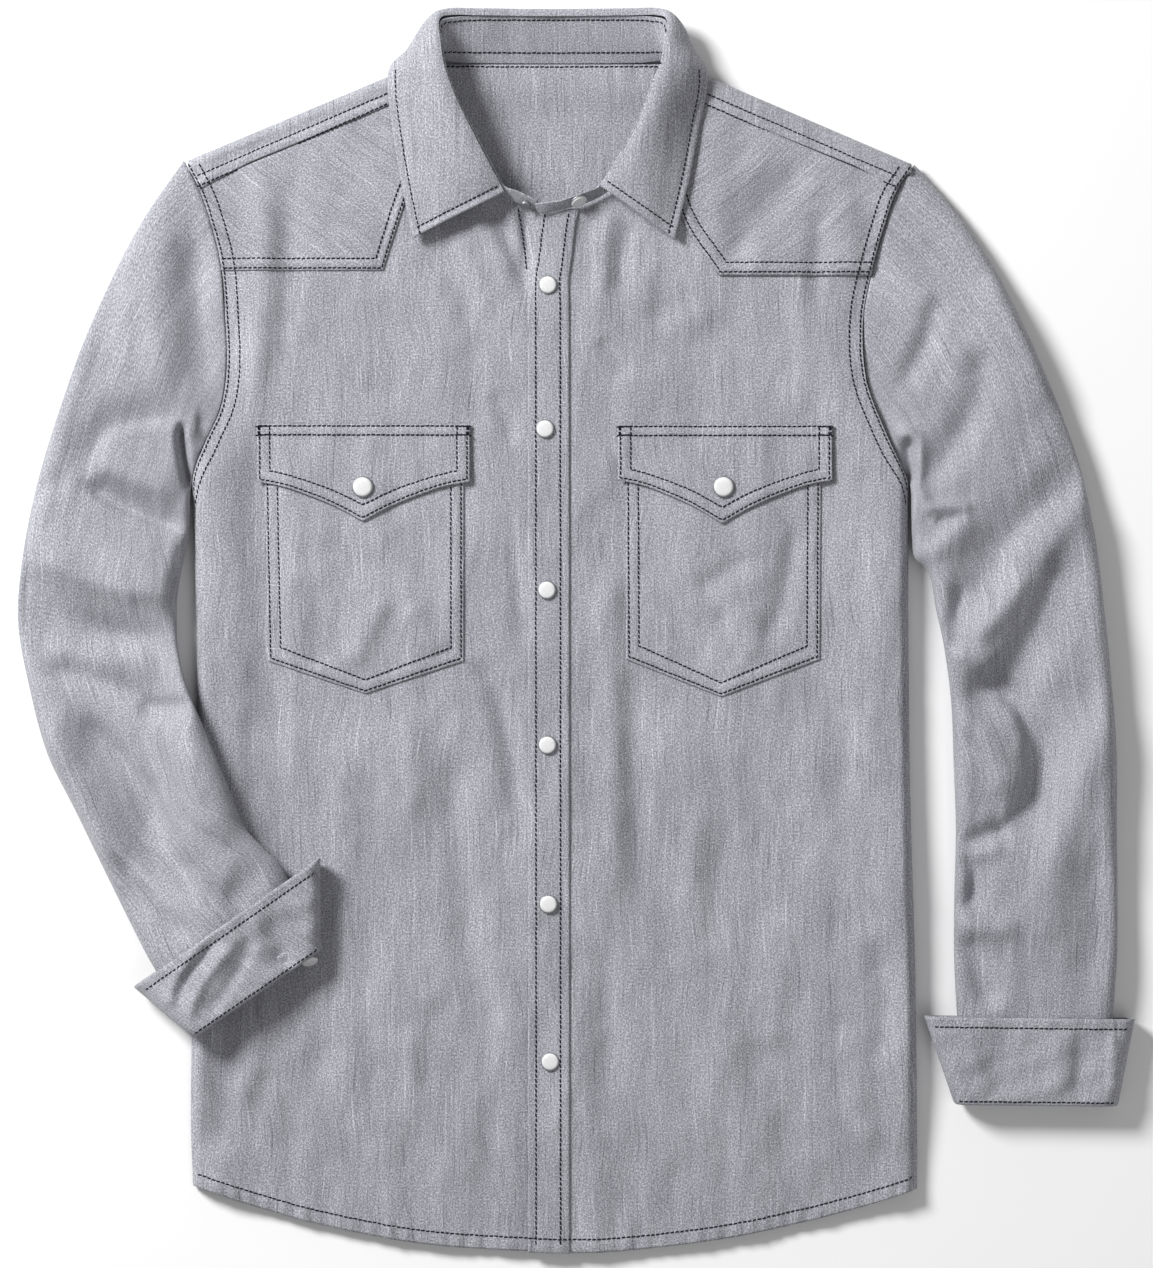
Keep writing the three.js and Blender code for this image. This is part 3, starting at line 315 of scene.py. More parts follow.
# Points round a ring: along each rounded edge, the top and the underside
SLEEVE_COUNTS = (9, 52, 14)
CUFF_COUNTS = (9, 110, 14)
THINNEST_TUBE = 2.6

# Turned back cuffs: corners of the free edge and of the fold, outer one first, and the heights there
CUFF = {
    "right": {
        "free": ((-278.8, -224.3), (-161, -142.4)), "fold": ((-240.5, -255.5), (-160.4, -200.6)),
        "free_high": 22.5, "fold_high": 18.5,
    },
    "left": {
        "free": ((351.9, -244.4), (218.9, -242.6)), "fold": ((341.2, -299.2), (238, -298)),
        "free_high": 21.5, "fold_high": 20.3,
    },
}
CUFF_RETURN = 13
# Overlapping end of the left cuff
CUFF_LAP = table("y x", (-300, 343.4), (-289.8, 342.4), (-272.5, 339.3), (-243.2, 338.6))

# Collar leaf from its front edge to the middle of the back: fold and outer edge, the way it faces in degrees,
# and the handles of the curve between them (out and up at the fold, back and lift at the outer edge)
COLLAR_LEAF = table(
    "rfx lfx rfy lfy fz rex lex ey ez face out up back lift",
    (-45.2, 14.8, 275.8, 279.4, 23.5, -103, 62.1, 247, 18.2, -30, 13, 5, -18, 3),
    (-53.5, 25, 291.5, 294.5, 28, -106.5, 66, 263, 17.4, -30, 12, 6, -17, 4),
    (-63.5, 35, 310.5, 312, 31, -111.5, 72, 288, 16.4, -24, 11, 6, -15, 5),
    (-73.4, 43, 330, 330, 33, -116.3, 77.5, 317, 16, -15, 11, 6, -13, 5),
    (-80, 49, 346, 346, 34, -118.8, 82, 340, 16.2, -7, 12, 5, -6, 6),
    (-83.5, 54, 358, 358, 33, -118, 81.5, 354, 12.5, 0, 11, 4, 1, 8),
    (-85.5, 56, 372, 372, 29, -110, 75.5, 362, 3.5, 18, 9, 2, 4, 8),
    (-86, 56.5, 384, 384, 24, -96.5, 66, 357, 0.1, 58, 13, 0, 18, 0),
    (-79, 50, 387.4, 387.4, 19.5, -79, 50, 350.5, 0.1, 84, 14.5, 0, 30, 0),
    (-58, 30, 387.4, 387.4, 17, -58, 30, 348.5, 0.1, 90, 14, 0, 34, 0),
    (-14, -14, 387, 387, 16, -14, -14, 348.5, 0.1, 90, 14, 0, 34, 0),
)
# Collar stand in the same order: seam and top edge
COLLAR_STAND = table(
    "rsx lsx sy sz rtx ltx ty tz",
    (-22.5, -12.5, 265.2, 15.6, -24.5, -10.5, 270.8, 21.5), (-37, 6, 270.2, 15, -36.5, 6, 276.6, 22.2),
    (-50, 20, 277.8, 14.8, -45.6, 14.2, 280.6, 21.3), (-61, 32, 290.8, 14.8, -53.6, 24.1, 295, 25.6),
    (-72.5, 43, 308.5, 15, -63, 34, 312.4, 28.5), (-82, 51.5, 327.5, 15, -72.4, 42, 330.2, 30.4),
    (-87.5, 57, 344.5, 15, -79, 48, 346, 31.4), (-90, 60.5, 355, 12.5, -82.4, 53, 357.6, 30.4),
    (-87, 58, 360.5, 8.2, -84.6, 55.2, 370.2, 26.8), (-80, 51.5, 360.2, 6.2, -84.6, 55.4, 381.2, 22),
    (-70, 42, 359.4, 5.8, -75, 47, 384.2, 17), (-54, 26, 359, 5.6, -57.6, 29.6, 385.2, 14.7),
    (-14, -14, 358.8, 5.6, -14, -14, 385.2, 13.7),
)

# Front yokes, pockets and flaps in plan
YOKE_FRONT = {
    "right": {
        "arm_y": 227.1, "corner": (-121.9, 227.1), "bend": (-107.5, 271.5), "neck": (-87.5, 319),
        "neck_top": (-95.4, 341.3),
    },
    "left": {
        "arm_y": 224.6, "corner": (89.8, 224.6), "bend": (66.8, 261), "neck": (58.5, 316),
        "neck_top": (67.4, 337.2),
    },
}
POCKET = {
    "right": {
        "top_x": (-197.2, -70.9), "low_x": (-194.6, -70.9), "top": 117, "low": -19, "tip": (-133.2, -39.7),
    },
    "left": {"top_x": (30.6, 154.2), "low_x": (31.2, 153.4), "top": 117, "low": -18, "tip": (91, -41.6)},
}
FLAP = {
    "right": {"side_x": (-201.3, -67.1), "top": 130.2, "side": 94, "tip": (-134.6, 68.9)},
    "left": {"side_x": (25.9, 161), "top": 129.9, "side": 95, "tip": (91.7, 67.4)},
}
FLAP_DROP = table("at drop", (0, 0), (0.25, 0.13), (0.5, 0.36), (0.75, 0.64), (1, 1))
FLAP_KICK = 1.1

# Snaps: sizes and places
SNAP_SMALL = {"radius": 5.9, "high": 2.4}
SNAP_LARGE = {"radius": 6.75, "high": 2.7}
STUD = {"radius": 3.4, "high": 2.2}
PLACKET_SNAPS = [(-18, 218), (-19.8, 127.3), (-18.6, 25.8), (-18.3, -71.8), (-17.7, -172), (-16.6, -271.2)]
FLAP_SNAPS = {"right": (-134.6, 90.7), "left": (92.6, 90.8)}
# Snaps that lie tilted: the middle of the base, and the turn in radians about X, Y and Z
COLLAR_SNAP = (1.2, 270.9, 19.6), (1.08, 0, 0.45)
COLLAR_STUD = (-31.9, 268.2, 20.1), (0.7, 0, 0)
CUFF_SNAP = (-167.9, -206.9, 20), (1.0, 0.5, 0)
# Profiles of a snap from its axis out, in shares of radius and height
SNAP_SIDES = 56
SNAP_RIM = table(
    "r z",
    (0, 0), (0.93, 0), (0.99, 0.12), (1, 0.3), (0.985, 0.46), (0.95, 0.54), (0.91, 0.5), (0.89, 0.4),
)
SNAP_DOME = table("r z", (0.9, 0.4), (0.89, 0.6), (0.84, 0.78), (0.7, 0.91), (0.4, 0.98), (0, 1))

# Camera straight above, through a long lens, framed as the photo is at the height VIEW_Z
VIEW_CENTRE = (0.0, -1.9)
VIEW_HEIGHT = 798.8
VIEW_Z = 12
LENS_MM = 200
SENSOR_MM = 36

# Disk lamps, in metres and watts
LAMPS = {
    "key": {"at": (-1.9, 1.6, 1.9), "size": 1.0, "power": 134},
    "fill": {"at": (1.2, -0.9, 2.6), "size": 2.0, "power": 12},
}
FLOOR_HALF = 3.0
FLOOR_Z = -0.0006

# Yarn pattern, one layer on another: speckle, yarns, light slubs, dark slubs, streaks, wash
YARN_LAYERS = (
    {"scale": (1050, 880), "detail": 3, "roughness": 0.7, "seed": 3.1, "range": (0.3, 0.7, -0.24, 0.24)},
    {"scale": (1250, 70), "detail": 3, "roughness": 0.6, "seed": 7.7, "range": (0.3, 0.7, -0.05, 0.05)},
    {"scale": (900, 17), "detail": 2, "roughness": 0.5, "seed": 12.3, "range": (0.62, 0.8, 0, 0.17)},
    {"scale": (950, 21), "detail": 2, "roughness": 0.5, "seed": 21.9, "range": (0.62, 0.8, 0, -0.2)},
    {"scale": (110, 12), "detail": 3, "roughness": 0.5, "seed": 9.5, "range": (0.3, 0.7, -0.025, 0.025)},
    {"scale": (24, 11), "detail": 4, "roughness": 0.6, "seed": 5.5, "range": (0.3, 0.7, -0.035, 0.035)},
)


# Curves and heights

def mix(a, b, t):
    return a + (b - a) * t


def ease(low, high, at):
    t = np.clip((np.asarray(at, float) - low) / (high - low), 0, 1)
    return t * t * (3 - 2 * t)


def read(rows, key, value, at):
    """Smooth curve through the rows of a table, read at one column to give another."""
    k, v = rows[key], rows[value]
    at = np.clip(np.asarray(at, float), k[0], k[-1])
    before = np.maximum(np.arange(len(k)) - 1, 0)
    after = np.minimum(np.arange(len(k)) + 1, len(k) - 1)
    slope = (v[after] - v[before]) / (k[after] - k[before])
    row = np.clip(np.searchsorted(k, at, side="left") - 1, 0, len(k) - 2)
    span = k[row + 1] - k[row]
    t = (at - k[row]) / span
    return (
        (2 * t**3 - 3 * t**2 + 1) * v[row]
        + (t**3 - 2 * t**2 + t) * span * slope[row]
        + (3 * t**2 - 2 * t**3) * v[row + 1]
        + (t**3 - t**2) * span * slope[row + 1]
    )


def running(steps):
    """Length run up to each point of a path, from the lengths of its steps."""
    return np.concatenate([[0], np.cumsum(steps)])


def along(points, share):
    """Smooth path through plan points, read at shares of its length."""
    points = np.array(points, float)
    rows = {"s": running(np.hypot(*np.diff(points, axis=0).T)), "x": points[:, 0], "y": points[:, 1]}
    at = np.asarray(share) * rows["s"][-1]
    return np.stack([read(rows, "s", "x", at), read(rows, "s", "y", at)], -1)


def fold_height(folds, x, y):
    """Sum of soft ridges and troughs, each along a short curve that fades at both ends."""
    total = np.zeros(np.broadcast(x, y).shape)
    steps = 6
    for k in range(len(folds["x1"])):
        f = {name: column[k] for name, column in folds.items()}
        t = np.linspace(0, 1, steps + 1)
        bend_x, bend_y = 2 * f["x2"] - (f["x1"] + f["x3"]) / 2, 2 * f["y2"] - (f["y1"] + f["y3"]) / 2
        px = (1 - t) ** 2 * f["x1"] + 2 * t * (1 - t) * bend_x + t**2 * f["x3"]
        py = (1 - t) ** 2 * f["y1"] + 2 * t * (1 - t) * bend_y + t**2 * f["y3"]
        near = np.full(total.shape, 1e9)
        run = np.zeros(total.shape)
        left = np.zeros(total.shape, bool)
        for s in range(steps):
            dx, dy = px[s + 1] - px[s], py[s + 1] - py[s]
            length = dx * dx + dy * dy
            part = ((x - px[s]) * dx + (y - py[s]) * dy) / length
            if s > 0:
                part = np.maximum(part, 0)
            if s < steps - 1:
                part = np.minimum(part, 1)
            off = (x - px[s] - part * dx) ** 2 + (y - py[s] - part * dy) ** 2
            closer = off < near
            near = np.where(closer, off, near)
            run = np.where(closer, (s + part) / steps, run)
            left = np.where(closer, dx * (y - py[s]) - dy * (x - px[s]) > 0, left)
        taper = ease(-0.06, 0.22, run) * (1 - ease(0.78, 1.06, run))
        total += f["height"] * taper * np.exp(-near / np.where(left, f["left"], f["right"]) ** 2)
    return total


def ripple(x, y, size, stretch, seed):
    """Uneven small waves, about size across and stretch times as long along Y, mostly between -1 and 1."""
    random = np.random.default_rng(SEED + seed)
    total = np.zeros(np.broadcast(x, y).shape)
    for _ in range(14):
        turn = random.uniform(0, 2 * math.pi)
        wave = 2 * math.pi / (size * random.uniform(0.7, 1.7))
        phase = random.uniform(0, 2 * math.pi)
        total += np.sin(wave * (x * math.cos(turn) + y * math.sin(turn) / stretch) + phase)
    return total / 5


def hump(off, at, spread):
    """Rounded ridge of height 1 at a distance, fading on both sides."""
    return np.exp(-((off - at) ** 2) / spread)


def body_edge(side, y):
    return read(BODY_EDGE[side], "y", "x", y)


def hem_y(x):
    return read(HEM, "x", "y", x)


def shoulder_y(side, x):
    tip, neck = SHOULDER_TIP[side], SHOULDER_NECK[side]
    return mix(tip[1], neck[1], (x - tip[0]) / (neck[0] - tip[0]))


def hem_lumps(x, y):
    """Roped, slanted puckers of the narrow hem."""
    up = y - hem_y(x)
    lean = x + HEM_LEAN * up
    strength = 0.65 + 0.5 * ripple(x, 0 * y, 45, 1, 5)
    wave = np.sin(lean * HEM_WAVE_RATE + 1.6 * ripple(lean, 0 * y, 60, 1, 3)) * strength
    swell = 0.5 + 0.5 * ripple(x, 0 * y, 90, 1, 4)
    return (HEM_WAVE_HIGH * wave + HEM_SWELL_HIGH * swell) * np.exp(-(((up - HEM_MIDDLE) / HEM_HALF) ** 2))


def front_height(x, y):
    """Top of the front cloth over the laid body."""
    from_right = x - body_edge("right", y)
    from_left = body_edge("left", y) - x
    reach = np.minimum(from_right, from_left)
    under_arm = 1 - ease(ARMPIT_LOW, ARMPIT_HIGH, y)
    ridge = 0
    for off, (into, width, high) in ((from_right, SIDE_RIDGE["right"]), (from_left, SIDE_RIDGE["left"])):
        ridge = ridge + high * np.exp(-(((off - into) / width) ** 2)) * (1 - ease(ARMPIT_LOW, 230, y))
    hem = mix(HEM_SHARE, 1, ease(0, HEM_FADE, y - hem_y(x)))
    low_down = 1 - ease(-160, 40, y)
    small = mix(0.55, 0.9, low_down) * ripple(x, y, 28, 3.4, 1) + 0.2 * ripple(x, y, 12, 1.8, 2)
    folds = BODY_FOLD_GAIN * fold_height(BODY_FOLDS, x, y)
    full = (CHEST_Z + ridge) * hem + folds + small + HEM_GAIN * hem_lumps(x, y)
    share = np.clip(reach / SIDE_ROLL, 0, 1)
    roll = np.sqrt(1 - (1 - share) ** 2)
    return mix(full, mix(SIDE_SEAM_Z, full, roll), under_arm)


def left_front_height(x, y):
    """The left front, raised where it overlaps the right one."""
    return front_height(x, y) + OVERLAP_RISE * (1 - ease(6, 46, x))


def front_top(side, x, y):
    return left_front_height(x, y) if side == "left" else front_height(x, y)


def under_lift(x, y):
    """How far the back is held up under the collar."""
    return NECK_LIFT * ease(322, 346, y) * (1 - ease(84, 112, np.abs(x - NECK_X)))


def sleeve_rest(side, x, y):
    """What a sleeve rests on: the ground, and the body where the right one crosses it."""
    if side == "left":
        return np.zeros(np.broadcast(x, y).shape)
    edge = body_edge("right", y)
    width = mix(26, 50, 1 - ease(-190, -80, y))
    over = ease(0, 1, (x - (edge + 2 - width)) / width) * (1 - ease(-30, 20, y))
    return over * (front_height(np.maximum(x, edge + 12), y) + 0.6)


# Meshes

def merged(*shares):
    return np.unique(np.concatenate(shares))


def shares_of(count, extra=()):
    """Even shares from 0 to 1, with extra ones close to both ends."""
    both = [*extra, *(1 - share for share in extra)]
    return np.unique(np.round(np.concatenate([np.linspace(0, 1, count + 1), both]), 6))


def place(made, *nodes):
    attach(made, "root")
    if nodes:
        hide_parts(*nodes)
    return made


def new_object(name, points, faces, *materials):
    """Smooth mesh, put into the scene."""
    mesh = bpy.data.meshes.new(name)
    mesh.from_pydata(points, [], faces)
    mesh.polygons.foreach_set("use_smooth", [True] * len(mesh.polygons))
    for material in materials:
        mesh.materials.append(material)
    made = bpy.data.objects.new(name, mesh)
    bpy.context.scene.collection.objects.link(made)
    return made


def cloth_piece(node, points, uv, thick, material, closed=False, skip=None):
    """Cloth from a grid of points in millimetres: one skin and a Solidify that gives it its thickness."""
    columns, rows = points.shape[:2]
    index = np.arange(columns * rows).reshape(columns, rows)
    faces = []
    for i in range(columns if closed else columns - 1):
        after = (i + 1) % columns
        for j in range(rows - 1):
            if skip is None or not skip(i, j):
                faces.append((index[i, j], index[after, j], index[after, j + 1], index[i, j + 1]))
    used = sorted({v for face in faces for v in face})
    order = {v: k for k, v in enumerate(used)}
    flat = (points.reshape(-1, 3) * MM)[used]
    made = new_object(f"{node}_cloth", flat.tolist(), [[order[v] for v in face] for face in faces], material)
    mesh = made.data
    layer = mesh.uv_layers.new(name="cloth")
    wobble = 2.4 * ripple(points[..., 0], points[..., 1], 70, 1, 41)
    flat_uv = ((uv + wobble[..., None] * np.array([1, 0.3])).reshape(-1, 2) * MM)[used]
    loops = np.zeros(len(mesh.loops), int)
    mesh.loops.foreach_get("vertex_index", loops)
    layer.data.foreach_set("uv", flat_uv[loops].ravel())
    shell = made.modifiers.new("thickness", "SOLIDIFY")
    shell.thickness = thick * MM
    shell.offset = -1
    shell.use_even_offset = False
    return place(made, node)


def patch(low, high, first, last, u, v):
    """Plan patch between four curves, low and high over u, first and last over v."""
    corners = low(0.0), low(1.0), high(0.0), high(1.0)
    uu, vv = u[:, None, None], v[None, :, None]
    across = mix(first(v)[None], last(v)[None], uu)
    upward = mix(low(u)[:, None], high(u)[:, None], vv)
    flat = mix(mix(corners[0], corners[1], uu), mix(corners[2], corners[3], uu), vv)
    return across + upward - flat


def points_of(*parts):
    return np.stack(np.broadcast_arrays(*parts), -1)


def line(a, b, t):
    t = np.asarray(t, float)[..., None]
    return mix(np.array(a, float), np.array(b, float), t)


def front_plan(side, u, v):
    """Plan of a front: hem, side seam with armhole, front edge, and seam with neckline."""
    corner = (float(body_edge(side, HEM_CORNER_Y[side])), HEM_CORNER_Y[side])
    throat = NECKLINE[side][-1]
    column, shift = ("seam", -2.2) if side == "right" else ("free", 1.2)

    def centre(y):
        return read(PLACKET_EDGE, "y", column, y) + shift

    def outer(t):
        y = mix(corner[1], SEAM_TIP[side][1], np.asarray(t, float))
        return points_of(body_edge(side, y) + INWARD[side] * 1.5 * GAP * ease(ARMPIT_LOW, ARMPIT_HIGH, y), y)

    def low(t):
        x = mix(corner[0], float(centre(-390)), np.asarray(t, float))
        return points_of(x, hem_y(x))

    start = low(1.0)

    def inner(t):
        y = mix(start[1], throat[1], np.asarray(t, float))
        return points_of(mix(centre(y), throat[0], ease(230, throat[1], y)), y)

    seam_end = outer(1.0)

    def high(t):
        t = np.asarray(t, float)
        seam = line(seam_end, NECKLINE[side][0], np.minimum(t / 0.5, 1))
        neck = along(NECKLINE[side], np.maximum((t - 0.5) / 0.5, 0))
        return np.where((t < 0.5)[..., None], seam, neck)

    return patch(low, high, outer, inner, u, v)


def front(side, cloth):
    near = np.array([0.001, 0.003, 0.006, 0.01, 0.014, 0.019, 0.025, 0.031])
    u = merged(near, np.linspace(0, 1, 122))
    v = merged([0.002, 0.004, 0.007], np.linspace(0, 1, 250))
    x, y = np.moveaxis(front_plan(side, u, v), -1, 0)
    grid = points_of(x, y, front_top(side, x, y))
    if side == "left":
        grid = grid[::-1]
    return cloth_piece(f"front_{side}", grid, grid[..., :2], CLOTH, cloth)


def edge_round(distance, radius=1.4):
    """How far an edge turns down: 1 at the edge, 0 from radius in."""
    share = np.clip(distance / radius, 0, 1)
    return 1 - np.sqrt(1 - (1 - share) ** 2)


def laid_piece(node, side, plan, out, edge, thick, cloth):
    """A piece laid on a front: the front's own surface moved out, with its edges turned down."""
    x, y = plan[..., 0], plan[..., 1]
    groove = -0.22 * (hump(edge, ROW_EDGE, 0.8) + hump(edge, ROW_INNER, 0.8))
    puff = 0.4 * hump(edge, 5, 7) + 0.16 * np.sin(0.8 * x + 0.8 * y) * hump(edge, 5, 20)
    z = front_top(side, x, y) + out + thick + groove + puff - 0.75 * edge_round(edge)
    turn = math.radians(GRAIN_TURN.get(node, 0))
    along_u = x * math.cos(turn) + y * math.sin(turn)
    along_v = -x * math.sin(turn) + y * math.cos(turn)
    return cloth_piece(node, points_of(x, y, z), points_of(along_u, along_v), thick * 0.95, cloth)


def dense(length):
    """Shares of a length for points close to an edge and its sewn rows."""
    return np.array([0.35, 0.8, 1.4, 1.9, 2.5, 3.6, 5, 6.4, 7.5, 8.2, 9]) / length


def yoke_edge(piece, share):
    """Slanted front edge of a yoke, from its corner up to the neck."""
    return along([piece["corner"], piece["bend"], piece["neck"]], share)


def front_yoke(side, cloth):
    piece = YOKE_FRONT[side]
    tip_y = SEAM_TIP[side][1] - GAP
    bent = 0.6

    def arm(y):
        return points_of(body_edge(side, y) + INWARD[side] * GAP, y)

    def low(t):
        t = np.asarray(t, float)
        first = line(arm(piece["arm_y"]), piece["corner"], np.minimum(t / bent, 1))
        slanted = yoke_edge(piece, np.maximum((t - bent) / (1 - bent), 0))
        return np.where((t < bent)[..., None], first, slanted)

    def high(t):
        return line(arm(tip_y), piece["neck_top"], t)

    def outer(t):
        return arm(mix(piece["arm_y"], tip_y, np.asarray(t, float)))

    def inner(t):
        return line(piece["neck"], piece["neck_top"], t)

    u = shares_of(90)
    v = merged(dense(60)[:8], np.linspace(0, 1, 40))
    plan = patch(low, high, outer, inner, u, v)
    height = np.linalg.norm(plan[:, -1] - plan[:, 0], axis=-1)
    edge = v[None] * height[:, None] * np.where(u < bent, 1, 0.9)[:, None]
    return laid_piece(f"yoke_front_{side}", side, plan, LAID_GAP, edge, OVERLAY, cloth)


def placket(cloth):
    u = shares_of(14, dense(26)[:5])[:, None]
    v = shares_of(230, (0.0008, 0.002))
    low = hem_y(mix(PLACKET_EDGE["free"][0], PLACKET_EDGE["seam"][0], u)) - 0.6
    y = mix(low, PLACKET_TOP_Y + 1.2 * u, v)
    free, seam = read(PLACKET_EDGE, "y", "free", y), read(PLACKET_EDGE, "y", "seam", y)
    x = mix(free, seam, u)
    edge = np.minimum(np.minimum(u, 1 - u) * (seam - free), y - low)
    rope = 0.16 * np.sin(0.95 * y + 1.3 * ripple(y, 0 * y, 40, 1, 8)) * hump(edge, 3, 10)
    relief = 0.35 - 0.28 * hump(edge, 4.5, 0.9) + rope - 0.8 * edge_round(edge)
    grid = points_of(x, y, left_front_height(x, y) + LAID_GAP + CLOTH + relief)
    return cloth_piece("placket", grid, grid[..., :2], CLOTH, cloth)


def share_in(span, x):
    """Where x lies between two ends, as a share."""
    return (x - span[0]) / (span[1] - span[0])


def toward_tip(share, tip):
    """0 at both ends of a pointed edge and 1 at its tip."""
    return np.where(share < tip, share / tip, (1 - share) / (1 - tip))


def pocket(side, cloth):
    p = POCKET[side]
    u = shares_of(70, dense(125))[:, None]
    v = shares_of(80, dense(135))
    low = mix(p["low"], p["tip"][1], toward_tip(u, share_in(p["low_x"], p["tip"][0])))
    y = mix(low, p["top"], v)
    depth = (p["top"] - y) / (p["top"] - p["low"])
    x = mix(mix(p["top_x"][0], p["low_x"][0], depth), mix(p["top_x"][1], p["low_x"][1], depth), u)
    side_off = np.minimum(u, 1 - u) * (p["top_x"][1] - p["top_x"][0])
    edge = np.minimum(side_off, (y - low) * 0.95)
    slack = 0.8 * np.sin(np.pi * u) * np.sin(np.pi * v) ** 0.7
    return laid_piece(f"pocket_{side}", side, points_of(x, y), LAID_GAP + slack, edge, OVERLAY, cloth)


def flap_low(side, share):
    """Lower edge of a flap, which curves down to its tip."""
    f = FLAP[side]
    toward = toward_tip(share, share_in(f["side_x"], f["tip"][0]))
    return mix(f["side"], f["tip"][1], read(FLAP_DROP, "at", "drop", toward))


def flap(side, cloth):
    f = FLAP[side]
    u = shares_of(90, dense(134))[:, None]
    v = merged(dense(48), 1 - dense(48)[:5], np.linspace(0, 1, 26))
    low = flap_low(side, u)
    x = mix(*f["side_x"], u)
    y = mix(low, f["top"], v)
    side_off = np.minimum(u, 1 - u) * (f["side_x"][1] - f["side_x"][0])
    edge = np.minimum(np.minimum(side_off, (y - low) * 0.9), f["top"] - y + 0.5)
    puff = 0.5 * np.sin(np.pi * u) * np.sin(np.pi * v)
    out = 2 * LAID_GAP + OVERLAY + FLAP_KICK * (1 - v) ** 2 + puff
    return laid_piece(f"flap_{side}", side, points_of(x, y), out, edge, OVERLAY + GAP, cloth)


def back(cloth):
    u = np.linspace(0, 1, 60)[:, None]
    v = np.linspace(0, 1, 90)
    y = mix(hem_y(mix(-242, 214.5, u)) + 1.6, YOKE_BACK_LOW_Y, v)
    right, left = body_edge("right", y), body_edge("left", y)
    x = mix(right + 1, left - 1, u)
    lift = 0.25 * (1 + ripple(x, y, 40, 2, 5)) * ease(6, 30, np.minimum(x - right, left - x))
    grid = points_of(x, y, lift)[::-1]
    return cloth_piece("back", grid, grid[..., :2], CLOTH, cloth)


def back_yoke(cloth):
    """Back yoke: flat below the neck, and over both shoulders it rolls forward and laps the front yokes."""
    shoulder, neck = 50, 60
    bottom, roll, forward = 40, 12, 22
    zones = [("right", t) for t in np.linspace(0, 1, shoulder)]
    zones += [("neck", t) for t in np.linspace(0, 1, neck)[1:-1]]
    zones += [("left", t) for t in np.linspace(0, 1, shoulder)]
    neck_right, neck_left = SEAM_NECK["right"][0], SEAM_NECK["left"][0]

    def column_x(zone, t, y):
        right = float(body_edge("right", min(y, 295))) + 2 * GAP
        left = float(body_edge("left", min(y, 293))) - 2 * GAP
        ends = {"right": (right, neck_right), "neck": (neck_right, neck_left), "left": (neck_left, left)}
        return mix(*ends[zone], t)

    grid = []
    for zone, t in zones:
        side = "left" if zone == "left" else "right"
        fold_x = column_x(zone, t, 292)
        flat_end = NECK_BACK_Y if zone == "neck" else shoulder_y(side, fold_x) - SHOULDER_ROLL
        column = []
        for y in np.linspace(YOKE_BACK_LOW_Y + GAP, flat_end, bottom + 1):
            x = column_x(zone, t, y)
            column.append((x, y, float(under_lift(x, y))))
        share = t if zone == "right" else 1 - t
        seam_y = mix(SEAM_TIP[side][1], SEAM_NECK[side][1], share) + GAP
        low = float(under_lift(fold_x, flat_end))
        high = float(front_top(side, fold_x, seam_y)) + LAID_GAP + OVERLAY
        for k in range(1, roll + 1):
            turn = math.pi * k / roll
            z = mix(low, high, 0.5 - 0.5 * math.cos(turn))
            column.append((fold_x, flat_end + SHOULDER_ROLL * math.sin(turn), z))
        lap_y = seam_y - 2.6
        for k in range(1, forward + 1):
            y = mix(flat_end, lap_y, (k / forward) ** 0.7)
            x = column_x(zone, t, y)
            near = y - lap_y
            lap = 1.25 * float(1 - ease(2.5, 8, near))
            relief = 0.25 * float(hump(near, 4.5, 5)) - 0.8 * float(edge_round(near, 1.2))
            column.append((x, y, float(front_top(side, x, y)) + LAID_GAP + OVERLAY + lap + relief))
        grid.append(column)
    grid = np.array(grid)[::-1]

    def skip(i, j):
        """The neck has no roll and no forward part."""
        return j >= bottom and shoulder - 1 <= i < len(zones) - shoulder

    steps = np.linalg.norm(np.diff(grid, axis=1), axis=-1)
    run = np.array([running(row) for row in steps])
    return cloth_piece("yoke_back", grid, points_of(grid[..., 0], run), CLOTH, cloth, skip=skip)


def ring_profile(width, radius, inset, arc, top, bottom):
    """Offsets across a flattened tube and shares of its height, once round."""
    r = radius - inset
    turn = np.linspace(-0.5, 0.5, arc + 1) * np.pi
    across = np.linspace(0, 1, top + 1)[1:-1]
    under = np.linspace(1, 0, bottom + 1)[1:-1]
    off = np.concatenate([
        radius - r * np.cos(turn), mix(radius, width - radius, across),
        width - radius + r * np.cos(turn), mix(radius, width - radius, under),
    ])
    rise = np.concatenate([
        0.5 + 0.5 * np.sin(turn), np.ones(top - 1), 0.5 + 0.5 * np.sin(turn[::-1]), np.zeros(bottom - 1),
    ])
    return off, rise


def flat_ring(outer, inner, bend, rest, high, hollow, folds, inset, counts):
    """One ring of a flattened tube between two plan points, and the length run round it."""
    outer, inner = np.array(outer), np.array(inner)
    width = float(np.hypot(*(inner - outer)))
    radius = min(SLEEVE_EDGE_RADIUS, width / 3)
    off, rise = ring_profile(width, radius, inset, *counts)
    share = off / width
    x = mix(outer[0], inner[0], share) + bend(share)
    y = mix(outer[1], inner[1], share)
    middle = np.sin(np.pi * np.clip((off - radius) / (width - 2 * radius), 0, 1)) ** 2
    edge = np.minimum(off, width - off)
    crown = hollow * np.maximum(middle, 0.75) * ease(0, radius * 1.5, edge)
    crown = crown + folds(x, y) * ease(0, radius * 0.45, edge)
    low = rest(x, y)
    top = low + np.maximum(THINNEST_TUBE, high + crown) - inset
    ring = points_of(x, y, mix(low + inset, top, rise))
    return ring, running(np.linalg.norm(np.diff(ring, axis=0), axis=-1))


def tube_piece(node, side, rings, runs, lengths, thick, cloth):
    """Cloth tube from its rings, the length run round each, and how far along the tube each lies."""
    grid = np.array(rings).transpose(1, 0, 2)
    uv = points_of(np.array(runs).T, lengths)
    if side == "right":
        grid, uv = grid[::-1], uv[::-1]
    return cloth_piece(node, grid, uv, thick, cloth, closed=True)


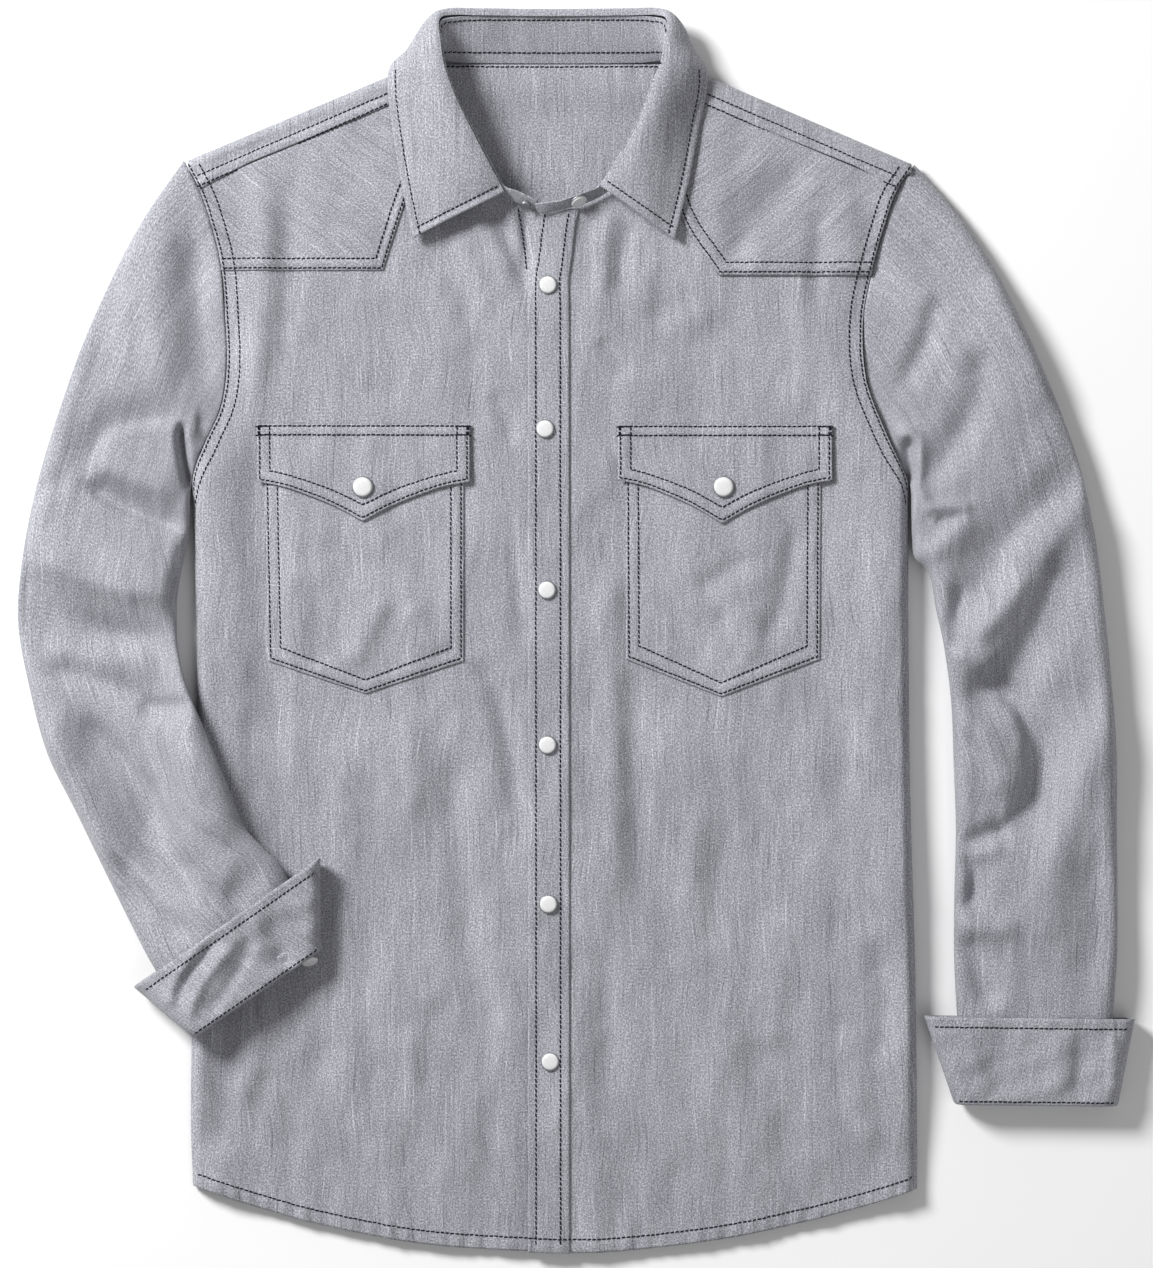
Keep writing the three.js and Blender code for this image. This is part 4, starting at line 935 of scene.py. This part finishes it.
def sleeve_relief(x, y):
    small = 0.6 * ripple(x, y, 34, 1.5, 11) + 0.2 * ripple(x, y, 13, 1.2, 12)
    return SLEEVE_FOLD_GAIN * fold_height(SLEEVE_FOLDS, x, y) + small


def sleeve(side, cloth):
    rows = dict(SLEEVE[side])
    count = len(rows["ox"])
    rows["k"] = np.arange(count, dtype=float)
    first = {name: column[0] for name, column in rows.items()}

    def armhole(share):
        """How far the armhole bows from a straight line between its ends."""
        y = mix(first["oy"], first["iy"], share)
        return body_edge(side, y) - mix(first["ox"], first["ix"], share)

    rings, runs = [], []
    for at in np.linspace(0, count - 1, SLEEVE_RINGS):
        value = {name: float(read(rows, "k", name, at)) for name in rows if name != "k"}
        bow = max(0.0, value["bow"])
        ring, run = flat_ring(
            (value["ox"], value["oy"]), (value["ix"], value["iy"]), lambda share: bow * armhole(share),
            lambda x, y: sleeve_rest(side, x, y) + value["lift"], value["high"], value["hollow"],
            sleeve_relief, 0, SLEEVE_COUNTS,
        )
        rings.append(ring)
        runs.append(run)
    middles = np.mean(rings, axis=1)
    lengths = -running(np.linalg.norm(np.diff(middles, axis=0), axis=-1))
    return tube_piece(f"sleeve_{side}", side, rings, runs, lengths, CLOTH, cloth)


def cuff_relief(side, x, y):
    """Wrinkles of a cuff, and the step down from the left one's overlapping end."""
    small = 0.5 * ripple(x, y, 26, 0.8, 21) + 0.2 * ripple(x, y, 11, 1, 22)
    relief = CUFF_FOLD_GAIN * fold_height(CUFF_FOLDS, x, y) + small
    if side == "left":
        relief = relief - 1.3 * ease(-0.7, 0.7, x - read(CUFF_LAP, "y", "x", y))
    return relief


def cuff(side, cloth):
    """Turned back cuff: outer layer from the free edge to the fold, round it, and a short return inside."""
    c = CUFF[side]
    free, fold = np.array(c["free"]), np.array(c["fold"])
    length = math.dist(free[0], fold[0])
    steps = [(s, 0.0) for s in np.linspace(1, 0.04, 26)]
    steps += [(0.015, 0.25), (0.002, 0.9), (-0.004, 1.8), (0.002, 2.8), (0.02, 3.4)]
    steps += [(s, 2 * BAND + GAP + 0.3) for s in np.linspace(0.05, CUFF_RETURN / length, 6)]
    rings, runs = [], []
    for share, inset in steps:
        groove = 0.25 * hump(length * (1 - share), 6, 1.2) + 0.2 * hump(length * share, 2, 1.2)

        def folds(x, y, inset=inset, groove=groove):
            return np.zeros(x.shape) if inset else cuff_relief(side, x, y) - groove

        ring, run = flat_ring(
            mix(fold[0], free[0], share), mix(fold[1], free[1], share), lambda s: 0 * s,
            lambda x, y: sleeve_rest(side, x, y) * 1.04 + 0.1,
            mix(c["fold_high"], c["free_high"], share), 0, folds, inset, CUFF_COUNTS,
        )
        rings.append(ring)
        runs.append(run)
    lengths = 2.0 * np.arange(len(steps))
    return tube_piece(f"cuff_{side}", side, rings, runs, lengths, BAND * 0.8, cloth)


def collar_stations(rows, columns, count):
    """Collar rows, read smoothly from the wearer's right front edge over the back to the left one."""
    names = columns.split()
    right = {name: rows["r" + name if "r" + name in rows else name] for name in names}
    left = {name: rows["l" + name if "l" + name in rows else name][:-1][::-1] for name in names}
    both = {name: np.concatenate([right[name], left[name]]) for name in names}
    if "face" in names:
        both["face"] = np.concatenate([180 - right["face"], left["face"]])
    both["k"] = np.arange(len(both[names[0]]), dtype=float)
    at = np.linspace(0, len(both["k"]) - 1, count)
    return {name: read(both, "k", name, at) for name in names}


def collar_leaf(cloth):
    s = collar_stations(COLLAR_LEAF, "fx fy fz ex ey ez face out up back lift", 260)
    turn = np.radians(s["face"])
    way = np.stack([np.cos(turn), np.sin(turn)], -1)
    start = points_of(s["fx"], s["fy"], s["fz"])
    end = points_of(s["ex"], s["ey"], s["ez"])
    one = start + np.concatenate([way * s["out"][:, None], s["up"][:, None]], -1)
    two = end + np.concatenate([way * s["back"][:, None], s["lift"][:, None]], -1)
    t = shares_of(34, dense(60)[:6])[None, :, None]
    grid = (
        (1 - t) ** 3 * start[:, None] + 3 * (1 - t) ** 2 * t * one[:, None]
        + 3 * (1 - t) * t**2 * two[:, None] + t**3 * end[:, None]
    )
    run = running(np.linalg.norm(np.diff(end[:, :2], axis=0), axis=-1))
    wide = np.linalg.norm(end - start, axis=-1)
    edge = np.minimum((1 - t[..., 0]) * wide[:, None], np.minimum(run, run[-1] - run)[:, None] + 1.0)
    above = ease(2, 8, grid[..., 2])
    sewn = 0.3 * hump(edge, 1.8, 3) - 0.45 * hump(edge, 5.2, 1.8) - 0.6 * edge_round(edge, 1.3)
    soft = 0.35 * ripple(grid[..., 0], grid[..., 1], 34, 1, 31)
    grid[..., 2] += (sewn + soft) * above
    uv = points_of(grid[..., 0], grid[..., 1] - 0.6 * grid[..., 2])
    return cloth_piece("collar_leaf", grid, uv, BAND, cloth)


def collar_stand(cloth):
    s = collar_stations(COLLAR_STAND, "sx sy sz tx ty tz", 260)
    seam = points_of(s["sx"], s["sy"], s["sz"])
    top = points_of(s["tx"], s["ty"], s["tz"])
    at_back = ease(352, 372, s["ty"])[:, None]
    top += (top - seam) * 0.085 * at_back
    seam -= np.array([0, 0.9, 1.2]) * at_back
    lapped = np.array([(-24.6, 263.6, 17.4), (-26.4, 268.8, 22.6)])
    seam, top = np.vstack([seam, lapped[:1]]), np.vstack([top, lapped[1:]])
    t = shares_of(14, (0.02, 0.05))[None, :, None]
    grid = mix(seam[:, None], top[:, None], t)
    grid[..., 2] += 0.3 * np.sin(np.pi * t[..., 0])
    uv = points_of(grid[..., 0], grid[..., 1] + grid[..., 2])
    return cloth_piece("collar_stand", grid, uv, BAND * 0.75, cloth)


# Stitches

def trees(*objects):
    """Ray targets of the pieces with their thickness."""
    graph = bpy.context.evaluated_depsgraph_get()
    made = []
    for item in objects:
        shape = item.evaluated_get(graph)
        mesh = shape.to_mesh()
        corners = [v.co.copy() for v in mesh.vertices]
        made.append(BVHTree.FromPolygons(corners, [list(p.vertices) for p in mesh.polygons]))
        shape.to_mesh_clear()
    return made


def stitch_shape():
    """One stitch along X with its ends dipping into the cloth, in millimetres."""
    half, r = STITCH_LENGTH / 2, STITCH_RADIUS
    rings = [(-0.84 * half, 0.85 * r, 0.05), (0.0, r, 0.16), (0.84 * half, 0.85 * r, 0.05)]
    points = [(-half, 0, -0.3)]
    for x, wide, z in rings:
        for k in range(6):
            turn = k * math.pi / 3
            points.append((x, wide * math.cos(turn), z + 0.8 * wide * math.sin(turn)))
    points.append((half, 0, -0.3))
    faces = [(0, 1 + (k + 1) % 6, 1 + k) for k in range(6)]
    for ring in range(2):
        for k in range(6):
            a, b = 1 + ring * 6 + k, 1 + ring * 6 + (k + 1) % 6
            faces.append((a, b, b + 6, a + 6))
    faces += [(19, 13 + k, 13 + (k + 1) % 6) for k in range(6)]
    return points, faces


def resample(path, pitch):
    """Middles of the stitches along a path, and the way that each runs."""
    path = np.array(path, float)
    total = running(np.hypot(*np.diff(path, axis=0).T))
    count = max(2, int(round(total[-1] / pitch)))
    at = (np.arange(count) + 0.5) / count * total[-1]
    x, y = np.interp(at, total, path[:, 0]), np.interp(at, total, path[:, 1])
    ahead = np.minimum(at + 0.6, total[-1])
    behind = np.maximum(at - 0.6, 0)
    dx = np.interp(ahead, total, path[:, 0]) - np.interp(behind, total, path[:, 0])
    dy = np.interp(ahead, total, path[:, 1]) - np.interp(behind, total, path[:, 1])
    return x, y, dx, dy


def stitches(name, rows, targets, thread):
    """Rows of stitches sewn along plan paths, dropped onto the pieces from above."""
    shape_points, shape_faces = stitch_shape()
    random = np.random.default_rng(SEED + len(name))
    points, faces = [], []
    for path in rows:
        for x, y, dx, dy in zip(*resample(path, STITCH_PITCH)):
            best = None
            for tree in targets:
                spot, normal, _, _ = tree.ray_cast(Vector((x * MM, y * MM, 0.2)), Vector((0, 0, -1)))
                if spot is not None and (best is None or spot.z > best[0].z):
                    best = spot, normal
            if best is None:
                continue
            spot, normal = best
            if normal.z < 0:
                normal = -normal
            forward = Vector((dx, dy, 0)).normalized()
            forward = (forward - normal * forward.dot(normal)).normalized()
            aside = normal.cross(forward)
            slip = random.uniform(-0.12, 0.12)
            base = len(points)
            for p in shape_points:
                sideways = p[1] + slip + STITCH_SLANT * p[0]
                points.append(spot + (forward * p[0] + aside * sideways + normal * (p[2] + 0.05)) * MM)
            faces += [[base + v for v in face] for face in shape_faces]
    made = new_object(name, [tuple(p) for p in points], faces, thread)
    place(made)


def pocket_rows(side):
    p = POCKET[side]
    start_y = 122
    rows = []
    for into in (ROW_EDGE, ROW_INNER):
        left_top, left_low = p["top_x"][0] + into, p["low_x"][0] + into
        right_top, right_low = p["top_x"][1] - into, p["low_x"][1] - into
        low = p["low"] + into * 1.05
        tip = (p["tip"][0], p["tip"][1] + into * 1.1)
        rows.append([(left_top, start_y), (left_low, low), tip, (right_low, low), (right_top, start_y)])
    return rows


def flap_rows(side):
    """Two rows along the point, two along the top, and a bar tack at each upper corner."""
    f = FLAP[side]
    rows = []
    for into in (ROW_EDGE, ROW_INNER):
        shares = np.linspace(0, 1, 60)
        x = mix(f["side_x"][0] + into, f["side_x"][1] - into, shares)
        tip = share_in(f["side_x"], f["tip"][0])
        share = share_in(f["side_x"], x)
        rise = into * mix(1.0, 1.28, np.clip(1 - np.abs(share - tip) / 0.35, 0, 1))
        y = flap_low(side, share) + rise
        rows.append([(x[0], f["top"] - 1), *zip(x, y), (x[-1], f["top"] - 1)])
        top = f["top"] - (1.1 if into == ROW_EDGE else 6.7)
        rows.append([(f["side_x"][0] + 0.5, top), (f["side_x"][1] - 0.5, top)])
    for x in f["side_x"]:
        outward = -3 if x < sum(f["side_x"]) / 2 else 3
        rows.append([(x + 0.5 * outward, f["top"] - 1.5), (x - outward * 2.6, f["top"] - 1.2)])
        rows.append([(x + 0.5 * outward, f["top"] - 7.2), (x - outward * 2.6, f["top"] - 6.4)])
        rows.append([(x - 0.3 * outward, f["top"] - 0.8), (x - 0.3 * outward, f["top"] - 7.2)])
    return rows


def yoke_rows(side):
    piece = YOKE_FRONT[side]
    inward = INWARD[side]
    rows = []
    slanted = yoke_edge(piece, np.linspace(0, 0.92, 40))
    for into in YOKE_ROWS:
        y = piece["arm_y"] + into
        start = (float(body_edge(side, y)) + inward * 1.5, y)
        rows.append([start] + [tuple(p) for p in slanted + np.array([-inward * into * 0.6, into])])
    return rows


def armhole_rows(side):
    rows = []
    for row in ARMHOLE_ROWS:
        y = np.linspace(row["low"], SHOULDER_TIP[side][1] - 1, 120)
        into = mix(1.5, row["into"], ease(row["low"] - 8, row["low"] + 34, y))
        rows.append(list(zip(body_edge(side, y) + INWARD[side] * into, y)))
    return rows


def shoulder_rows(side):
    tip, neck = np.array(SEAM_TIP[side]), np.array(SEAM_NECK[side])
    return [[tuple(tip + [0, off]), tuple(neck + [0, off])] for off in SHOULDER_ROWS]


def underlap_rows():
    return [UNDERLAP_ROW]


def hem_rows():
    x = np.linspace(-239, 212, 320)
    return [list(zip(x, hem_y(x) + HEM_ROW))]


def placket_rows():
    y = np.linspace(-387, 263, 200)
    rows = []
    for column, off in PLACKET_ROWS.items():
        rows.append(list(zip(read(PLACKET_EDGE, "y", column, y) + off, y)))
    return rows


def leaf_rows():
    s = collar_stations(COLLAR_LEAF, "fx fy ex ey ez", 120)
    start, end = points_of(s["fx"], s["fy"]), points_of(s["ex"], s["ey"])
    rows = []
    count = int(np.argmax(s["ez"] < 13))
    for part in (slice(0, count), slice(-count, None)):
        a, b = start[part], end[part]
        toward = (a - b) / np.linalg.norm(a - b, axis=-1)[:, None]
        rows.append([tuple(p) for p in b + toward * LEAF_ROW])
    for k, after in ((0, 1), (-1, -2)):
        a, b = start[k], end[k]
        aside = start[after] - start[k]
        aside = aside / np.linalg.norm(aside) * LEAF_ROW
        rows.append([tuple(mix(b, a, 0.08) + aside), tuple(mix(b, a, 0.97) + aside)])
    return rows


def stand_rows():
    s = collar_stations(COLLAR_STAND, "sx sy tx ty", 160)
    seam, top = points_of(s["sx"], s["sy"]), points_of(s["tx"], s["ty"])
    part = slice(56, 104)
    rows = [[tuple(p) for p in mix(seam, top, share)[part]] for share in STAND_ROW_SHARES]
    rows.append([(-86, NECK_BACK_Y - 1.3), (NECK_X, NECK_BACK_Y - 1.6), (58, NECK_BACK_Y - 1.3)])
    return rows


def cuff_rows(side):
    c = CUFF[side]
    free, fold = np.array(c["free"]), np.array(c["fold"])
    rows = []
    for share in CUFF_ROW_SHARES:
        a, b = mix(fold, free, share)
        rows.append([tuple(mix(a, b, 0.03)), tuple(mix(a, b, 0.97))])
    return rows


# Groups of rows on each side and in the middle, and the pieces that each is sewn on
SIDE_ROWS = {
    "armhole": (armhole_rows, "front_{0} yoke_{0} yoke_back"),
    "yoke": (yoke_rows, "yoke_{0}"),
    "shoulder": (shoulder_rows, "yoke_back"),
    "pocket": (pocket_rows, "pocket_{0}"),
    "flap": (flap_rows, "flap_{0} front_{0}"),
    "cuff": (cuff_rows, "cuff_{0}"),
}
MIDDLE_ROWS = {
    "hem": (hem_rows, "front_right front_left placket"),
    "placket": (placket_rows, "placket"),
    "underlap": (underlap_rows, "front_right"),
    "leaf": (leaf_rows, "leaf"),
    "stand": (stand_rows, "stand yoke_back"),
}


def sew(tops, thread):
    for side in ("right", "left"):
        for group, (rows, names) in SIDE_ROWS.items():
            targets = [tops[name] for name in names.format(side).split()]
            stitches(f"stitches_{group}_{side}", rows(side), targets, thread)
    for group, (rows, names) in MIDDLE_ROWS.items():
        stitches(f"stitches_{group}", rows(), [tops[name] for name in names.split()], thread)


# Snaps

def snap(name, size, materials, at, tilt, node):
    """Domed pearl cap in a thin metal rim: rim and dome are turned profiles."""
    points, faces, kinds = [], [], []
    for kind, profile in enumerate((SNAP_RIM, SNAP_DOME)):
        base = len(points)
        for radius, z in zip(size["radius"] * profile["r"], size["high"] * profile["z"]):
            for k in range(SNAP_SIDES):
                turn = 2 * math.pi * k / SNAP_SIDES
                points.append((radius * math.cos(turn) * MM, radius * math.sin(turn) * MM, z * MM))
        for row in range(len(profile["r"]) - 1):
            for k in range(SNAP_SIDES):
                a = base + row * SNAP_SIDES + k
                b = base + row * SNAP_SIDES + (k + 1) % SNAP_SIDES
                faces.append((a, b, b + SNAP_SIDES, a + SNAP_SIDES))
                kinds.append(kind)
    made = new_object(name, points, faces, *materials)
    made.data.polygons.foreach_set("material_index", kinds)
    made.matrix_world = Matrix.Translation(Vector(at) * MM) @ Euler(tilt).to_matrix().to_4x4()
    place(made, node)


def snaps(pearl, metal):
    caps = (metal, pearl)
    flat = (0, 0, 0)
    for k, (x, y) in enumerate(PLACKET_SNAPS, 1):
        z = float(left_front_height(x, y)) + CLOTH + LAID_GAP + 2 * GAP
        snap(f"snap_placket_{k}_cap", SNAP_SMALL, caps, (x, y, z), flat, f"snap_placket_{k}")
    for side, (x, y) in FLAP_SNAPS.items():
        z = float(front_top(side, x, y)) + 2 * OVERLAY + 2 * LAID_GAP + 2 * GAP + FLAP_KICK * 0.5 + 0.6
        snap(f"snap_flap_{side}_cap", SNAP_LARGE, caps, (x, y, z), flat, f"snap_flap_{side}")
    snap("snap_collar_cap", SNAP_SMALL, caps, *COLLAR_SNAP, "snap_collar")
    snap("stud_collar_ring", STUD, (metal, metal), *COLLAR_STUD, "stud_collar")
    snap("snap_cuff_right_cap", SNAP_SMALL, caps, *CUFF_SNAP, "snap_cuff_right")


# Materials

def nodes_of(name):
    material = bpy.data.materials.new(name)
    material.use_nodes = True
    tree = material.node_tree
    return material, tree, tree.nodes["Principled BSDF"]


def put(node, values):
    """Set a node's inputs by their names."""
    for name, value in values.items():
        node.inputs[name].default_value = value


def ramp_of(tree, source, low, high, middle=None):
    """Colour from low to high along a source, over a middle one if there is one."""
    ramp = tree.nodes.new("ShaderNodeValToRGB")
    elements = ramp.color_ramp.elements
    elements[0].color = (*low, 1)
    elements[1].color = (*high, 1)
    if middle:
        elements.new(0.5).color = (*middle, 1)
    tree.links.new(source, ramp.inputs["Fac"])
    return ramp.outputs["Color"]


def object_noise(tree, values):
    """Noise in the object's own space."""
    where = tree.nodes.new("ShaderNodeTexCoord")
    texture = tree.nodes.new("ShaderNodeTexNoise")
    put(texture, values)
    tree.links.new(where.outputs["Object"], texture.inputs["Vector"])
    return texture.outputs["Fac"]


def chambray():
    """Grey slub chambray: layers of yarn pattern for its colour, and a fine twill bump."""
    material, tree, shader = nodes_of("chambray")
    new, link = tree.nodes.new, tree.links.new
    uv = new("ShaderNodeUVMap")
    uv.uv_map = "cloth"

    def noise(layer):
        mapping = new("ShaderNodeMapping")
        put(mapping, {"Scale": (*layer["scale"], 1), "Location": (layer["seed"], layer["seed"] * 0.7, 0)})
        link(uv.outputs["UV"], mapping.inputs["Vector"])
        texture = new("ShaderNodeTexNoise")
        texture.noise_dimensions = "2D"
        put(texture, {"Scale": 1, "Detail": layer["detail"], "Roughness": layer["roughness"]})
        link(mapping.outputs["Vector"], texture.inputs["Vector"])
        return texture.outputs["Fac"]

    def spread(source, low, high, out_low, out_high):
        ranged = new("ShaderNodeMapRange")
        put(ranged, {"From Min": low, "From Max": high, "To Min": out_low, "To Max": out_high})
        link(source, ranged.inputs["Value"])
        return ranged.outputs["Result"]

    def add(a, b):
        total = new("ShaderNodeMath")
        total.operation = "ADD"
        link(a, total.inputs[0])
        link(b, total.inputs[1])
        return total.outputs[0]

    layers = [spread(noise(layer), *layer["range"]) for layer in YARN_LAYERS]
    total = layers[0]
    for layer in layers[1:]:
        total = add(total, layer)
    dark, middle, light = (0.07, 0.071, 0.09), (0.305, 0.307, 0.34), (0.74, 0.745, 0.8)
    link(ramp_of(tree, spread(total, -0.4, 0.4, 0, 1), dark, light, middle), shader.inputs["Base Color"])

    twill = new("ShaderNodeTexWave")
    twill.bands_direction = "DIAGONAL"
    put(twill, {"Scale": 300, "Distortion": 1.5})
    link(uv.outputs["UV"], twill.inputs["Vector"])
    weave = add(spread(twill.outputs["Fac"], 0, 1, 0, 0.35), spread(total, -0.3, 0.3, 0, 1))
    bump = new("ShaderNodeBump")
    put(bump, {"Strength": 0.5, "Distance": 0.00025})
    link(weave, bump.inputs["Height"])
    link(bump.outputs["Normal"], shader.inputs["Normal"])
    put(shader, {"Roughness": 0.88, "Sheen Weight": 0.12, "Sheen Roughness": 0.5})
    return material


def thread_material():
    material, tree, shader = nodes_of("dark_thread")
    noise = object_noise(tree, {"Scale": 900})
    colour = ramp_of(tree, noise, (0.003, 0.003, 0.007), (0.016, 0.017, 0.03))
    tree.links.new(colour, shader.inputs["Base Color"])
    put(shader, {"Roughness": 0.9, "Specular IOR Level": 0.15})
    return material


def pearl_material():
    material, tree, shader = nodes_of("pearl")
    noise = object_noise(tree, {"Scale": 260, "Detail": 3, "Distortion": 1.2})
    colour = ramp_of(tree, noise, (0.6, 0.61, 0.63), (0.88, 0.87, 0.86))
    tree.links.new(colour, shader.inputs["Base Color"])
    put(shader, {"Roughness": 0.3, "Coat Weight": 0.3, "Coat Roughness": 0.08})
    return material


def metal_material():
    material, tree, shader = nodes_of("metal")
    ranged = tree.nodes.new("ShaderNodeMapRange")
    put(ranged, {"To Min": 0.42, "To Max": 0.6})
    tree.links.new(object_noise(tree, {"Scale": 400}), ranged.inputs["Value"])
    tree.links.new(ranged.outputs["Result"], shader.inputs["Roughness"])
    put(shader, {"Base Color": (0.34, 0.35, 0.37, 1), "Metallic": 1})
    return material


# Stage

def floor():
    material, _, shader = nodes_of("floor")
    put(shader, {"Base Color": (0.9, 0.9, 0.9, 1), "Roughness": 0.9})
    signs = ((-1, -1), (1, -1), (1, 1), (-1, 1))
    corners = [(x * FLOOR_HALF, y * FLOOR_HALF, FLOOR_Z) for x, y in signs]
    made = new_object("floor", corners, [(0, 1, 2, 3)], material)


def lamp(name, at, size, power):
    """Disk lamp that points at the middle of the frame."""
    data = bpy.data.lights.new(name, "AREA")
    data.shape = "DISK"
    data.size = size
    data.energy = power
    made = bpy.data.objects.new(name, data)
    made.location = at
    made.rotation_mode = "QUATERNION"
    made.rotation_quaternion = (-Vector(at)).to_track_quat("-Z", "Y")
    bpy.context.scene.collection.objects.link(made)


def light_and_camera():
    world = bpy.data.worlds.new("studio")
    world.use_nodes = True
    put(world.node_tree.nodes["Background"], {"Color": (1, 1, 1, 1), "Strength": 0.24})
    bpy.context.scene.world = world
    for name, values in LAMPS.items():
        lamp(name, **values)
    data = bpy.data.cameras.new("camera")
    data.lens = LENS_MM
    data.sensor_width = SENSOR_MM
    distance = VIEW_HEIGHT * MM * LENS_MM / SENSOR_MM
    camera = bpy.data.objects.new("camera", data)
    camera.location = (VIEW_CENTRE[0] * MM, VIEW_CENTRE[1] * MM, distance + VIEW_Z * MM)
    data.clip_end = 20
    bpy.context.scene.collection.objects.link(camera)
    bpy.context.scene.camera = camera
    bpy.context.scene.view_settings.view_transform = "Standard"


def main():
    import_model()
    light_and_camera()
    floor()
    cloth, thread, pearl, metal = chambray(), thread_material(), pearl_material(), metal_material()
    pieces = {"back": back(cloth), "yoke_back": back_yoke(cloth), "placket": placket(cloth)}
    for side in ("right", "left"):
        pieces[f"front_{side}"] = front(side, cloth)
        pieces[f"yoke_{side}"] = front_yoke(side, cloth)
        pieces[f"pocket_{side}"] = pocket(side, cloth)
        pieces[f"flap_{side}"] = flap(side, cloth)
        pieces[f"sleeve_{side}"] = sleeve(side, cloth)
        pieces[f"cuff_{side}"] = cuff(side, cloth)
    pieces["leaf"] = collar_leaf(cloth)
    pieces["stand"] = collar_stand(cloth)
    bpy.context.view_layer.update()
    sew(dict(zip(pieces, trees(*pieces.values()))), thread)
    snaps(pearl, metal)


main()
